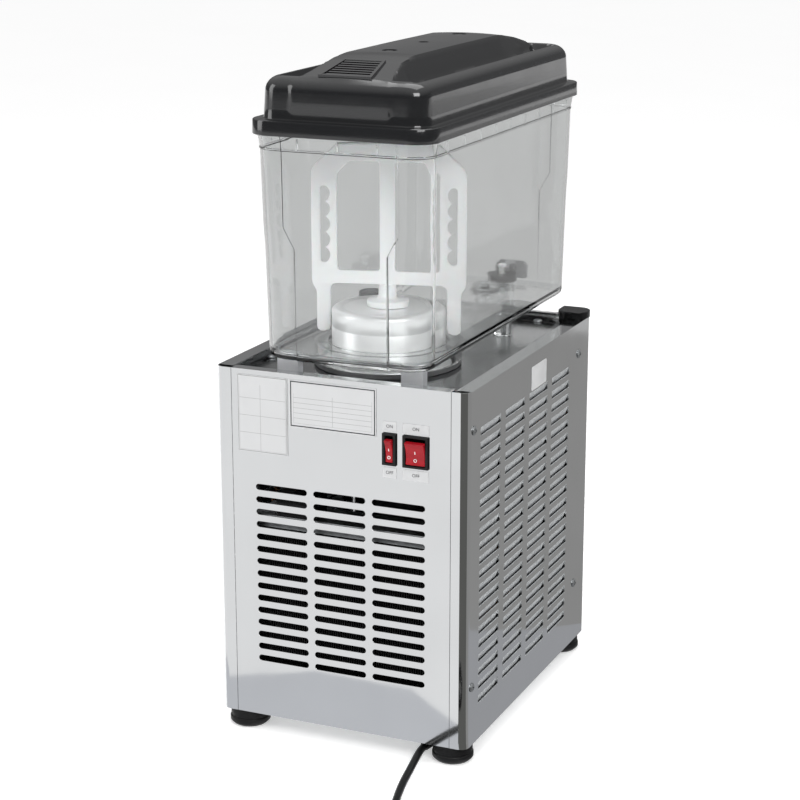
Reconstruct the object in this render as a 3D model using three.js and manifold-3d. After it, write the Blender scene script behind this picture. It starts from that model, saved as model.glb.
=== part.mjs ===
// A single-bowl cold drink dispenser: a clear bowl with a stirring paddle stands on a cooling cabinet.
// Millimetres, +Z up. The front, with the tap and the drip tray, faces -Y; switches and vents face +Y.
// The origin is on the floor under the middle of the machine.
import * as THREE from 'three';
import { mergeVertices, mergeGeometries } from 'three/addons/utils/BufferGeometryUtils.js';
import Module from 'manifold-3d';

const wasm = await Module();
wasm.setup();

// Driving dimensions
const clearance = 0.3; // between pieces that touch
const running = 0.6; // round shafts and pivots that turn
const overrun = 2; // how far a cutting solid passes the surface it cuts
const sheet = 1.2; // stainless sheet thickness

const cabinet = {
  width: 260,
  depth: 345,
  height: 350,
  bendRadius: 8,
  flange: 17, // width of the side panels' rear and front edges
  topFlange: 15,
  trayInset: 3, // from the panels' outside to the deck and the base pan
  deckDrop: 9, // how far the deck lies below the panels' top
};
const foot = {
  height: 18,
  radius: 20,
  neckRadius: 18.5,
  soleRadius: 17,
  soleHeight: 3,
  tierHeight: 8,
  inset: 19,
  sideInset: 21,
};

const louvre = {
  columns: 4,
  rows: 20,
  height: 8.4,
  spanShare: 0.8, // how much of a column's pitch a louvre takes
  rearMargin: 30,
  frontMargin: 68,
  lowestSill: 36.5, // above the cabinet's lower edge
  topMargin: 39.1, // from the highest louvre to the cabinet's top
  push: 4.9, // how far the free edge is pressed in
  drop: 6.9, // how far below its hinge the free edge ends
  taper: 0.8,
};
const sideScrew = { headRadius: 4.4, headHeight: 1.8, shankRadius: 2, holeRadius: 2.8, shankLength: 7 };
const screwSpots = {
  fromRear: 13,
  fromFront: 39.5,
  lowRear: 60, // above the cabinet's lower edge
  lowFront: 66,
  rearDrop: 37.6, // below the cabinet's top
  frontDrop: 32.5,
};

const vent = {
  columns: 3,
  rows: 15,
  height: 6,
  spanShare: 0.888, // how much of a column's pitch a slot takes
  sideMargin: 24.8,
  lowestRow: 60, // above the cabinet's lower edge
  topMargin: 115,
};
const rearPanel = { returnDepth: 10, edgeRadius: 1.6, topReturn: 12, sideGap: 0.4, ventShift: 0.5 };
const frontPanel = { returnDepth: 6, edgeRadius: 1.6 };

const switches = {
  centreDrop: 61.1, // below the cabinet's top
  bezelHeight: 31,
  bezelThickness: 2,
  bezelBorder: 1.6,
  bodyInset: 1.5, // the body behind the bezel is smaller by this on each side
  bodyDepth: 24,
  cavityDepth: 15,
  pivotDepth: 6,
  rockerHalfHeight: 11,
  rockerReach: 8.2, // end of the key in front of its pivot
  rockerSaddle: 6, // middle of the key in front of its pivot
  rockerHeel: 3,
  rockerBackRadius: 7.5,
  tilt: 11, // degrees to each side of the middle
};
const stirSwitch = { fromSide: 78.4, bezelWidth: 14 };
const coolSwitch = { fromSide: 52, bezelWidth: 26 };
const plates = { thickness: 0.5, drop: 5, betweenGap: 2.5, switchGap: 6.4, ratingHeight: 46 };
const wiringPlate = { fromSide: 24, width: 52.5, height: 75.3 };

const bowl = {
  halfWidth: 87.5, // outside, under the rim
  sideDraft: 3.5, // how much narrower each side is at the floor
  endDraft: 5,
  wall: 3,
  floor: 4,
  floorRise: 10, // underside above the cabinet's top
  wallHeight: 200,
  rimFlare: 2.3,
  rimFlareHeight: 12,
  rimHeight: 19,
  edgeRound: 5,
  topCorner: 22,
  lowCorner: 24,
  jogLow: 100, // where the wide lower corner ends, above the underside
  jogHeight: 15,
  openingGap: 4, // round the drum
  collarGap: 18,
  collarWall: 5,
  collarRise: 5.4, // of the collar's lower edge above the deck
  legRadius: 9,
  legSide: 62,
  legFromDrum: 148,
  tabWidth: 22,
  tabDepth: 12,
  tabSide: 64,
  tabInset: 15, // from the rear wall at the underside
};
const lid = {
  besideBowl: 5.1, // how far the lid stands out past the bowl's walls
  frontOverhang: 66, // past the cabinet's front
  rearOverhang: 3, // past its rear
  corner: 20,
  skirtHeight: 14,
  skirtOverlap: 6.5, // how far the skirt hangs below the rim's top
  shoulder: 9.3, // from the skirt in to the upper shell
  shellHeight: 39, // from the skirt's top to the ledge
  shellRound: 14,
  shellCornerShare: 0.6, // how much the corners tighten as the shell rounds over
  wall: 2.5,
  humpRise: 16,
  humpBase: 46,
  humpTop: 34,
  valleyInner: 49,
  valleyOuter: 71,
  valleyDepth: 9,
  valleyEndInset: 25,
  valleySlope: 7,
  holeRadius: 7.5,
  smallHoleRadius: 5,
  holeDepth: 5,
  grilleFront: 65, // from the lid's rear edge
  grilleRear: 23,
  grilleHalfRear: 25,
  grilleHalfFront: 20,
  grilleDepth: 1.4,
  grilleLedge: 3,
  grilleProud: 1.2,
};
const humpProfile = {
  // distance from the lid's rear edge, as shares of its length, and height as shares of the hump's rise
  alongShares: [0.033, 0.061, 0.155, 0.204, 0.239, 0.776, 0.825, 0.865, 0.899, 0.939, 0.961],
  riseShares: [0, 0.09, 0.76, 0.95, 1, 0.96, 0.76, 0.58, 0.36, 0, -0.3],
  widthShares: [1, 1, 0.42, 0.12, 0, 0, 0.02, 0.12, 0.4, 1, 1],
};
const lidHoleShares = [0.291, 0.489, 0.711]; // along the lid, from its rear edge
const grilleSlots = { count: 6, border: 4, widthShare: 0.55 };

const drum = {
  fromRear: 113,
  besideBowl: 33.5, // from the drum's side to the bowl's side
  rise: 47, // above the cabinet's top
  shell: 1.5,
  edgeRound: 5,
  flangeWidth: 8,
  pinRadius: 4,
  pinHeight: 10,
  steps: 24,
};
const evaporator = { wall: 9, low: 6 };
const seal = { gap: 4 };
const paddle = {
  thickness: 4,
  turn: 15, // degrees, as it stands in the photograph
  stem: 8.3,
  legGap: 3, // beside the drum
  legWidth: 11,
  shoulderWidth: 6, // from the legs out to the sides
  frameWidth: 24,
  foot: 20, // heights above the cabinet's top
  shoulder: 62,
  barLow: 68,
  barHigh: 81,
  slotLow: 88,
  slotHeadroom: 41, // from the slots up to the top
  belowRim: 25, // from the bowl's rim down to the top
  topChamfer: 24,
  windowChamfer: 12,
  topBar: 17,
  slotInset: 13,
  slotHalf: 4.3,
  waves: 5,
  waveDepth: 3.4,
  legRound: 7,
  hubRadius: 20,
  hubHeight: 6,
  hubNeck: 9,
};
const stirMotor = { flangeShare: 0.704, canShare: 0.537, height: 52, flangeHeight: 6, boreDepth: 20 };
const magnet = { shaftRadius: 4, discShare: 0.556, height: 8, headroom: 5 };
const deckHole = { radius: 10 };
const deckSlot = { width: 6, run: 40, sideInset: 18, rearStart: 63, frontInset: 9, frontOffset: 75 };

const tap = {
  inletInset: 34.9, // behind the bowl's front at its underside
  inletRadius: 9,
  inletBore: 5.5,
  inletRise: 6, // above the bowl's inner floor
  nutRadius: 14,
  nutHeight: 4.5,
  flangeRadius: 16,
  flangeThickness: 3,
  washer: 1.4,
  channelRadius: 9,
  channelDrop: 13.5, // channel's axis below the bowl's underside
  barrelReach: 17.1, // in front of it
  barrelRadius: 14,
  barrelBore: 10,
  barrelRise: 6, // top of the barrel above the bowl's underside
  barrelHeight: 44,
  seatThickness: 4,
  outletRadius: 9,
  outletBore: 6.5,
  outletLength: 12,
  pistonRadius: 8.4,
  pistonHeight: 11,
  stemRadius: 3,
  stemHeadRadius: 5,
  stemHeadHeight: 3,
  capThickness: 4,
  capSkirt: 7,
  capWall: 2.2,
  pivotRise: 5, // lever's pivot above the cap
  earGap: 12,
  earWidth: 4,
  earRadius: 4.5,
  pinRadius: 1.9,
  leverArm: 11,
  leverWidth: 11,
  leverThickness: 4,
  forkBeyond: 1.5,
  handleReach: 20,
  handleDrop: 18,
  handleRise: 4,
  handleWidth: 36,
  handleThickness: 3.5,
  springRadius: 6.6,
  springWire: 1.5,
  springTurns: 4,
};
const tray = { halfWidth: 66, reach: 103, low: 30, height: 36, wall: 2.5, corner: 14, gap: 2 };
const grid = { thickness: 3, slots: 8, slotWidth: 5.5, border: 9, seat: 5, ledge: 3 };
const trayShelf = { depth: 60, lip: 26, halfWidth: 60, thickness: 2 };

const pan = { wallHeight: 14 };
const condenser = {
  sideGap: 33,
  depth: 38,
  high: 190, // above the cabinet's lower edge
  fins: 26,
  finThickness: 1.2,
  core: 14,
  fromRear: 11.5,
};
const shroud = { thickness: 1.2, gap: 3, openingShare: 0.722, high: 204, lip: 12 };
const fan = {
  radiusShare: 0.66, // of the condenser's half width
  hubRadius: 16,
  hubDepth: 16,
  blades: 5,
  pitch: 30,
  bladeWidth: 34,
  bladeThickness: 1.6,
  gap: 8,
};
const fanMotor = { radius: 27, depth: 38, shaftRadius: 3.2, shaftLength: 9, boreDepth: 12, gap: 3 };
const strap = { widthShare: 0.866, height: 14, thickness: 3 };
const compressor = {
  fromFront: 100,
  side: 20,
  radius: 55,
  height: 140,
  round: 20,
  plateLength: 150,
  plateWidth: 96,
  plateThickness: 3,
  mountRadius: 9,
  mountHeight: 14,
  mountInset: 12,
  lineHeight: 96, // where the pipes meet the shell
};
const drier = { radius: 9, canHeight: 60, neck: 4.2, fromSide: 20, fromRear: 78, low: 110, taper: 10 };
const pipe = { radius: 3, sides: 6, steps: 16, holeRadius: 5 };
const thermostat = { width: 42, depth: 26, height: 24, sideInset: 45 };
const cap = { reach: 31, width: 27, rise: 7.5, skirt: 5, overhang: 1.5, corner: 12.5 };

const cord = {
  diameter: 7.3,
  sides: 8,
  steps: 14,
  coilSteps: 24, // in each loop
  coilSides: 6,
  meanRadius: 40,
  turnsEachLayer: 2.5,
  climbTurns: 0.5,
  pitch: 8.4, // between turns side by side and between layers
  startTail: 8,
  endTail: 34,
  startAngle: 15.7, // degrees
};
// The free stretch, from the strain relief to the coil
const cordPoints = [
  [-82, 208, 9],
  [-82, 216, 9],
  [-83.5, 227, 9.3],
  [-86.6, 244, 9.4],
  [-89.6, 262, 8.6],
  [-92.2, 281, 7],
  [-96.4, 302, 5.8],
  [-101.6, 322, 5.5],
  [-107.6, 343, 5.5],
  [-115.6, 371.5, 5.5],
  [-122, 394, 5.5],
];
const relief = { width: 17, baseLength: 18, reach: 32, radius: 6.4, endRadius: 4.6 };
const plug = {
  halfWidth: 15,
  halfHeight: 11,
  corner: 6,
  roundShare: 0.98,
  bodyLength: 34,
  neckRadius: 5.6,
  neckEnd: 4.4,
  neckLength: 18,
  pinRadius: 2.4,
  pinLength: 19,
  pinSpacing: 19,
};
const tie = { width: 12, thickness: 1.2 };

// Places worked out from the sizes
const degrees = THREE.MathUtils.degToRad(1);
const turn = 2 * Math.PI;
const floorLine = foot.height; // the cabinet's lower edge
const cabinetTop = floorLine + cabinet.height;
const halfWidth = cabinet.width / 2;
const up = (height) => floorLine + height;
const keyReach = switches.rockerReach * Math.cos(switches.tilt * degrees)
  + switches.rockerHalfHeight * Math.sin(switches.tilt * degrees);
const rearReach = clearance + switches.bezelThickness - switches.pivotDepth + keyReach;
const frontReach = cabinet.depth + tray.gap + tray.reach;
const rearFace = (frontReach - rearReach) / 2;
const frontFace = rearFace - cabinet.depth;
const fromRear = (distance) => rearFace - distance;
const deckTop = cabinetTop - cabinet.deckDrop;
const bowlUnder = cabinetTop + bowl.floorRise;
const bowlTop = bowlUnder + bowl.wallHeight + bowl.rimHeight;
const lidHalfWidth = bowl.halfWidth + lid.besideBowl;
const lidHalfLength = (cabinet.depth + lid.frontOverhang + lid.rearOverhang) / 2;
const bowlHalfLength = lidHalfLength - lid.besideBowl;
const bowlMiddle = fromRear(lidHalfLength - lid.rearOverhang);
const bowlFront = bowlMiddle - bowlHalfLength + bowl.endDraft; // at its underside
const drumY = fromRear(drum.fromRear);
const drumRadius = bowl.halfWidth - drum.besideBowl;
const flangeRadius = drumRadius + drum.flangeWidth;
const collarRadius = drumRadius + bowl.collarGap;
const switchCentre = (unit) => unit.fromSide - halfWidth;
const condenserHalf = halfWidth - condenser.sideGap;
const drierX = halfWidth - drier.fromSide;

// Solids and surfaces
function tidy(geometry) {
  const bare = new THREE.BufferGeometry();
  bare.setAttribute('position', geometry.getAttribute('position').clone());
  if (geometry.index) bare.setIndex(geometry.index.clone());
  const merged = mergeVertices(bare, sheet / 1000);
  const index = merged.index.array;
  const kept = [];
  for (let i = 0; i < index.length; i += 3) {
    const [a, b, c] = [index[i], index[i + 1], index[i + 2]];
    if (a !== b && b !== c && a !== c) kept.push(a, b, c);
  }
  merged.setIndex(kept);
  return signedVolume(merged) < 0 ? reversed(merged) : merged;
}

function signedVolume(geometry) {
  const at = geometry.getAttribute('position');
  const index = geometry.index.array;
  const [a, b, c] = [new THREE.Vector3(), new THREE.Vector3(), new THREE.Vector3()];
  let sum = 0;
  for (let i = 0; i < index.length; i += 3) {
    a.fromBufferAttribute(at, index[i]);
    b.fromBufferAttribute(at, index[i + 1]);
    c.fromBufferAttribute(at, index[i + 2]);
    sum += a.dot(b.cross(c)) / 6;
  }
  return sum;
}

function reversed(geometry) {
  const index = geometry.index.array;
  for (let i = 0; i < index.length; i += 3) {
    [index[i + 1], index[i + 2]] = [index[i + 2], index[i + 1]];
  }
  return geometry;
}

function solid(geometry) {
  const tidied = tidy(geometry);
  const mesh = new wasm.Mesh({
    numProp: 3,
    vertProperties: new Float32Array(tidied.getAttribute('position').array),
    triVerts: new Uint32Array(tidied.index.array),
  });
  return new wasm.Manifold(mesh);
}

function surface(body) {
  const mesh = body.getMesh();
  const geometry = new THREE.BufferGeometry();
  geometry.setAttribute('position', new THREE.BufferAttribute(Float32Array.from(mesh.vertProperties), 3));
  geometry.setIndex(Array.from(mesh.triVerts));
  return geometry;
}

const join = (first, ...others) => surface(others.reduce((sum, next) => sum.add(solid(next)), solid(first)));
const cut = (first, ...others) =>
  surface(others.reduce((rest, next) => rest.subtract(solid(next)), solid(first)));

// A box between two corners, given as ranges along X, Y and Z
function block([x0, x1], [y0, y1], [z0, z1]) {
  const box = new THREE.BoxGeometry(Math.abs(x1 - x0), Math.abs(y1 - y0), Math.abs(z1 - z0));
  return box.translate((x0 + x1) / 2, (y0 + y1) / 2, (z0 + z1) / 2);
}

// A solid of revolution about a vertical axis through (x, y); the profile lists [radius, height]
function turned(profile, steps, x = 0, y = 0) {
  const points = profile.map(([radius, height]) => new THREE.Vector2(radius, height));
  return tidy(new THREE.LatheGeometry(points, steps).rotateX(Math.PI / 2).translate(x, y, 0));
}

const rod = (radius, low, high, steps, x = 0, y = 0) =>
  turned([[0, low], [radius, low], [radius, high], [0, high]], steps, x, y);

const tube = (inner, outer, low, high, steps, x = 0, y = 0) =>
  turned([[inner, low], [outer, low], [outer, high], [inner, high], [inner, low]], steps, x, y);

// A round bar along Y, from y0 to y1
function rodAlongY(radius, y0, y1, steps, x, z) {
  return rod(radius, y0, y1, steps).rotateX(-Math.PI / 2).translate(x, 0, z);
}

// A round bar along X, from x0 to x1
function rodAlongX(radius, x0, x1, steps, y, z) {
  return rod(radius, x0, x1, steps).rotateY(Math.PI / 2).translate(0, y, z);
}

// An outline drawn in X and Z, carried along Y over a thickness centred on y
function upright(shape, thickness, y, curveSegments = 4) {
  const plate = new THREE.ExtrudeGeometry(shape, { depth: thickness, bevelEnabled: false, curveSegments });
  return plate.rotateX(Math.PI / 2).translate(0, y + thickness / 2, 0);
}

// An outline drawn in X and Y, carried up from one height to another
function raised(shape, low, high, curveSegments = 4) {
  const plate = new THREE.ExtrudeGeometry(shape, { depth: high - low, bevelEnabled: false, curveSegments });
  return plate.translate(0, 0, low);
}

const outline = (points) => new THREE.Shape(points.map(([x, y]) => new THREE.Vector2(x, y)));

// A rounded rectangle as a closed ring of points at one height
function roundedRing(halfX, halfY, radius, z, y, steps = 3) {
  const ring = [];
  for (const [signX, signY, start] of [[1, 1, 0], [-1, 1, 1], [-1, -1, 2], [1, -1, 3]]) {
    for (let step = 0; step <= steps; step++) {
      const angle = (start + step / steps) * turn / 4;
      const x = signX * (halfX - radius) + radius * Math.cos(angle);
      ring.push([x, y + signY * (halfY - radius) + radius * Math.sin(angle), z]);
    }
  }
  return ring;
}

// A closed skin over a stack of rings with equal counts, capped flat at both ends
function loft(rings) {
  const count = rings[0].length;
  const positions = rings.flat(2);
  const index = [];
  for (let level = 0; level + 1 < rings.length; level++) {
    for (let i = 0; i < count; i++) {
      const a = level * count + i;
      const b = level * count + (i + 1) % count;
      index.push(a, b, b + count, a, b + count, a + count);
    }
  }
  const last = (rings.length - 1) * count;
  for (let i = 1; i + 1 < count; i++) {
    index.push(0, i + 1, i, last, last + i, last + i + 1);
  }
  const geometry = new THREE.BufferGeometry();
  geometry.setAttribute('position', new THREE.Float32BufferAttribute(positions, 3));
  geometry.setIndex(index);
  return tidy(geometry);
}

// The two faces of a sheet folded along a path with round corners, as matching lists of points
function foldedFaces(corners, radius, thickness, steps) {
  const outer = [];
  const inner = [];
  const starts = [];
  const add = (point, normal) => {
    outer.push(point.clone());
    inner.push(point.clone().addScaledVector(normal, -thickness));
  };
  const points = corners.map(([x, y]) => new THREE.Vector2(x, y));
  const headings = points.slice(1).map((point, i) => point.clone().sub(points[i]).normalize());
  const outward = headings.map((heading) => new THREE.Vector2(heading.y, -heading.x));
  add(points[0], outward[0]);
  for (let i = 1; i + 1 < points.length; i++) {
    const centre = points[i].clone()
      .addScaledVector(headings[i - 1], -radius)
      .addScaledVector(outward[i - 1], -radius);
    for (let step = 0; step <= steps; step++) {
      const normal = outward[i - 1].clone().lerp(outward[i], 0);
      const angle = normal.angle() + (Math.PI / 2) * (step / steps);
      const direction = new THREE.Vector2(Math.cos(angle), Math.sin(angle));
      add(centre.clone().addScaledVector(direction, radius), direction);
    }
    starts.push(outer.length - 1);
  }
  add(points[points.length - 1], outward[outward.length - 1]);
  return { outer, inner, starts };
}

// The margin between a flat stretch's edges and a pattern of holes on it. Each triangle is three
// [distance along the stretch, height] points, turning left.
function marginTriangles(span, low, high, sLines, zLines) {
  const triangles = [];
  const rim = [[0, low], [span, low], [span, high], [0, high]];
  const [sLast, zLast] = [sLines[sLines.length - 1], zLines[zLines.length - 1]];
  const sides = [
    sLines.map((s) => [s, zLines[0]]),
    zLines.map((z) => [sLast, z]),
    sLines.map((s) => [s, zLast]).reverse(),
    zLines.map((z) => [sLines[0], z]).reverse(),
  ];
  sides.forEach((points, side) => {
    for (let k = 0; k + 1 < points.length; k++) triangles.push([rim[side], points[k + 1], points[k]]);
    triangles.push([rim[side], rim[(side + 1) % rim.length], points[points.length - 1]]);
  });
  return triangles;
}

// Square-cornered holes: the lines run along the holes' own edges, and every second cell is a hole
function gridTriangles({ sLines, zLines }) {
  const triangles = [];
  for (let i = 0; i + 1 < sLines.length; i++) {
    for (let j = 0; j + 1 < zLines.length; j++) {
      if (i % 2 === 0 && j % 2 === 0) continue;
      const [s0, s1, z0, z1] = [sLines[i], sLines[i + 1], zLines[j], zLines[j + 1]];
      triangles.push([[s0, z0], [s1, z0], [s1, z1]], [[s0, z0], [s1, z1], [s0, z1]]);
    }
  }
  return triangles;
}

// Round-ended holes: each lies in the middle of its own cell
function cellTriangles({ sLines, zLines, loops }) {
  const triangles = [];
  const toVector = ([s, z]) => new THREE.Vector2(s, z);
  loops.forEach((loop, k) => {
    const [i, j] = [Math.floor(k / (zLines.length - 1)), k % (zLines.length - 1)];
    const [s0, s1, z0, z1] = [sLines[i], sLines[i + 1], zLines[j], zLines[j + 1]];
    const cell = [[s0, z0], [s1, z0], [s1, z1], [s0, z1]];
    const all = [...cell, ...loop];
    for (const [a, b, c] of THREE.ShapeUtils.triangulateShape(cell.map(toVector), [loop.map(toVector)])) {
      triangles.push([all[a], all[b], all[c]]);
    }
  });
  return triangles;
}

// A folded sheet standing from low to high. Its stretch after the first bend may carry a regular
// pattern of holes, and pressed flaps that hang from the top edges of the holes.
function foldedSheet({ corners, radius, thickness, steps = 3, low, high, pattern = null, flap = null }) {
  const { outer, inner, starts } = foldedFaces(corners, radius, thickness, steps);
  const positions = [];
  const quad = (a, b, c, d) => positions.push(...a, ...b, ...c, ...a, ...c, ...d);
  const at = (point, height) => [point.x, point.y, height];
  for (let i = 0; i + 1 < outer.length; i++) {
    const [a, b, c, d] = [outer[i], outer[i + 1], inner[i], inner[i + 1]];
    if (i !== starts[0] || !pattern) {
      quad(at(a, low), at(b, low), at(b, high), at(a, high));
      quad(at(d, low), at(c, low), at(c, high), at(d, high));
    }
    quad(at(a, low), at(c, low), at(d, low), at(b, low));
    quad(at(a, high), at(b, high), at(d, high), at(c, high));
  }
  const end = outer.length - 1;
  quad(at(outer[0], low), at(outer[0], high), at(inner[0], high), at(inner[0], low));
  quad(at(outer[end], low), at(inner[end], low), at(inner[end], high), at(outer[end], high));
  if (pattern) {
    const start = outer[starts[0]];
    const along = outer[starts[0] + 1].clone().sub(start);
    const span = along.length();
    along.normalize();
    const into = inner[starts[0]].clone().sub(start).normalize();
    const place = (s, height, depth) => {
      const point = start.clone().addScaledVector(along, s).addScaledVector(into, depth);
      return [point.x, point.y, height];
    };
    const faces = [
      ...marginTriangles(span, low, high, pattern.sLines, pattern.zLines),
      ...(pattern.square ? gridTriangles(pattern) : cellTriangles(pattern)),
    ];
    for (const [a, b, c] of faces) {
      positions.push(...place(...a, 0), ...place(...b, 0), ...place(...c, 0));
      positions.push(...place(...a, thickness), ...place(...c, thickness), ...place(...b, thickness));
    }
    for (const loop of pattern.loops) {
      loop.forEach(([s0, z0], k) => {
        const [s1, z1] = loop[(k + 1) % loop.length];
        if (flap && k === loop.length - 1) return;
        quad(place(s0, z0, 0), place(s0, z0, thickness), place(s1, z1, thickness), place(s1, z1, 0));
      });
      if (flap) pressedFlap(loop, quad, place, thickness, flap);
    }
  }
  const geometry = new THREE.BufferGeometry();
  geometry.setAttribute('position', new THREE.Float32BufferAttribute(positions, 3));
  return tidy(geometry);
}

// A flap bent inwards from the top edge of its hole; the hole's last side is that edge
function pressedFlap(loop, quad, place, thickness, { push, drop, taper }) {
  const [s1, top] = loop[0];
  const [s0] = loop[loop.length - 1];
  const inward = Math.sign(s1 - s0) * taper;
  const hinge = [place(s0, top, 0), place(s1, top, 0), place(s1, top, thickness), place(s0, top, thickness)];
  const free = [
    place(s0 + inward, top - drop, push),
    place(s1 - inward, top - drop, push),
    place(s1 - inward, top - drop, push + thickness),
    place(s0 + inward, top - drop, push + thickness),
  ];
  quad(hinge[0], free[0], free[1], hinge[1]);
  quad(hinge[2], free[2], free[3], hinge[3]);
  quad(hinge[1], free[1], free[2], hinge[2]);
  quad(hinge[3], free[3], free[0], hinge[0]);
  quad(free[0], free[3], free[2], free[1]);
}

const mirroredX = (geometry) => tidy(geometry.clone().scale(-1, 1, 1));

// A round tube along a smooth line through the points
function pipeAlong(points, radius, sides, steps) {
  const places = points.map((point) => new THREE.Vector3(...point));
  const line = new THREE.CatmullRomCurve3(places, false, 'centripetal');
  return sweptTube(line, radius, sides, steps);
}

function sweptTube(line, radius, sides, steps) {
  const ring = [];
  for (let side = 0; side < sides; side++) {
    const angle = (side + 0.5) / sides * turn;
    ring.push(new THREE.Vector2(radius * Math.cos(angle), radius * Math.sin(angle)));
  }
  const options = { steps, extrudePath: line, bevelEnabled: false };
  return tidy(new THREE.ExtrudeGeometry(new THREE.Shape(ring), options));
}

const part = new THREE.Group();

function addPiece(name, geometry, look) {
  const mesh = new THREE.Mesh(tidy(geometry), new THREE.MeshStandardMaterial(look));
  mesh.name = name;
  part.add(mesh);
}

const polished = { color: 0xc9cbcc, roughness: 0.18, metalness: 1 };
const galvanised = { color: 0xa9adae, roughness: 0.45, metalness: 1 };
const blackPlastic = { color: 0x1b1c1e, roughness: 0.35, metalness: 0 };
const lidPlastic = { color: 0x2d2f32, roughness: 0.28, metalness: 0 };
const clearPlastic = { color: 0xdfe3e4, roughness: 0.06, metalness: 0, transparent: true, opacity: 0.35 };
const whitePlastic = { color: 0xe9ebec, roughness: 0.4, metalness: 0 };
const blackRubber = { color: 0x141415, roughness: 0.75, metalness: 0 };
const redPlastic = { color: 0xb3121c, roughness: 0.25, metalness: 0 };
const paintedBlack = { color: 0x191a1b, roughness: 0.5, metalness: 0.2 };
const copper = { color: 0xb4693f, roughness: 0.35, metalness: 1 };
const labelFilm = { color: 0xf0f1f2, roughness: 0.5, metalness: 0 };

// Side panels: folded sheet with pressed louvres and a flange turned in along the top
function sidePanel() {
  const inset = cabinet.bendRadius;
  const span = cabinet.depth - 2 * inset;
  const { height, spanShare, columns, rows } = louvre;
  const columnPitch = (cabinet.depth - louvre.rearMargin - louvre.frontMargin) / (columns - 1 + spanShare);
  const rowPitch = (cabinet.height - louvre.lowestSill - louvre.topMargin - height) / (rows - 1);
  const width = spanShare * columnPitch;
  const lastSlot = span - (louvre.rearMargin - inset) - width;
  const sStart = (i) => lastSlot - (columns - 1 - i) * columnPitch;
  const sill = (j) => up(louvre.lowestSill + j * rowPitch);
  const places = (count, at) => Array.from({ length: count }, (_, k) => at(k));
  const pattern = {
    square: true,
    sLines: places(columns, sStart).flatMap((s) => [s, s + width]),
    zLines: places(rows, sill).flatMap((z) => [z, z + height]),
    loops: places(columns, sStart).flatMap((s) => places(rows, sill).map((z) => [
      [s + width, z + height],
      [s + width, z],
      [s, z],
      [s, z + height],
    ])),
  };
  const body = foldedSheet({
    corners: [
      [halfWidth - cabinet.flange, frontFace],
      [halfWidth, frontFace],
      [halfWidth, rearFace],
      [halfWidth - cabinet.flange, rearFace],
    ],
    radius: inset,
    thickness: sheet,
    low: floorLine,
    high: cabinetTop,
    pattern,
    flap: louvre,
  });
  const topFlange = block(
    [halfWidth - cabinet.topFlange, halfWidth - sheet / 2],
    [frontFace + inset, rearFace - inset],
    [cabinetTop - sheet, cabinetTop],
  );
  const holes = screwPlaces().map(([distance, height]) => rodAlongX(
    sideScrew.holeRadius,
    halfWidth - sheet - overrun,
    halfWidth + overrun,
    8,
    fromRear(distance),
    up(height),
  ));
  return cut(join(body, topFlange), ...holes);
}

function screwPlaces() {
  const front = cabinet.depth - screwSpots.fromFront;
  return [
    [screwSpots.fromRear, screwSpots.lowRear],
    [screwSpots.fromRear, cabinet.height - screwSpots.rearDrop],
    [front, screwSpots.lowFront],
    [front, cabinet.height - screwSpots.frontDrop],
  ];
}

const rightPanel = sidePanel();
addPiece('side_panel_left', rightPanel, polished);
addPiece('side_panel_right', mirroredX(rightPanel), polished);

function panelScrew() {
  const { headRadius, headHeight, shankRadius, shankLength } = sideScrew;
  const seat = halfWidth + clearance;
  return turned([
    [0, seat - shankLength],
    [shankRadius, seat - shankLength],
    [shankRadius, seat],
    [headRadius, seat],
    [headRadius, seat + headHeight],
    [0, seat + headHeight],
  ], 8).rotateY(Math.PI / 2);
}

screwPlaces().forEach(([distance, height], k) => {
  const screw = panelScrew().translate(0, fromRear(distance), up(height));
  addPiece(`panel_screw_left_${k + 1}`, screw, polished);
  addPiece(`panel_screw_right_${k + 1}`, mirroredX(screw), polished);
});

// Rear panel: vent slots, switch openings and edges turned in at the sides and the top
function slotLoop(s, z, length, height, steps = 2) {
  const loop = [];
  const radius = height / 2;
  for (const side of [1, -1]) {
    for (let step = 0; step <= steps; step++) {
      const angle = (side > 0 ? 0.25 : -0.25) * turn - step / steps * turn / 2;
      loop.push([s + side * (length / 2 - radius) + radius * Math.cos(angle), z + radius * Math.sin(angle)]);
    }
  }
  return loop;
}

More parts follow.
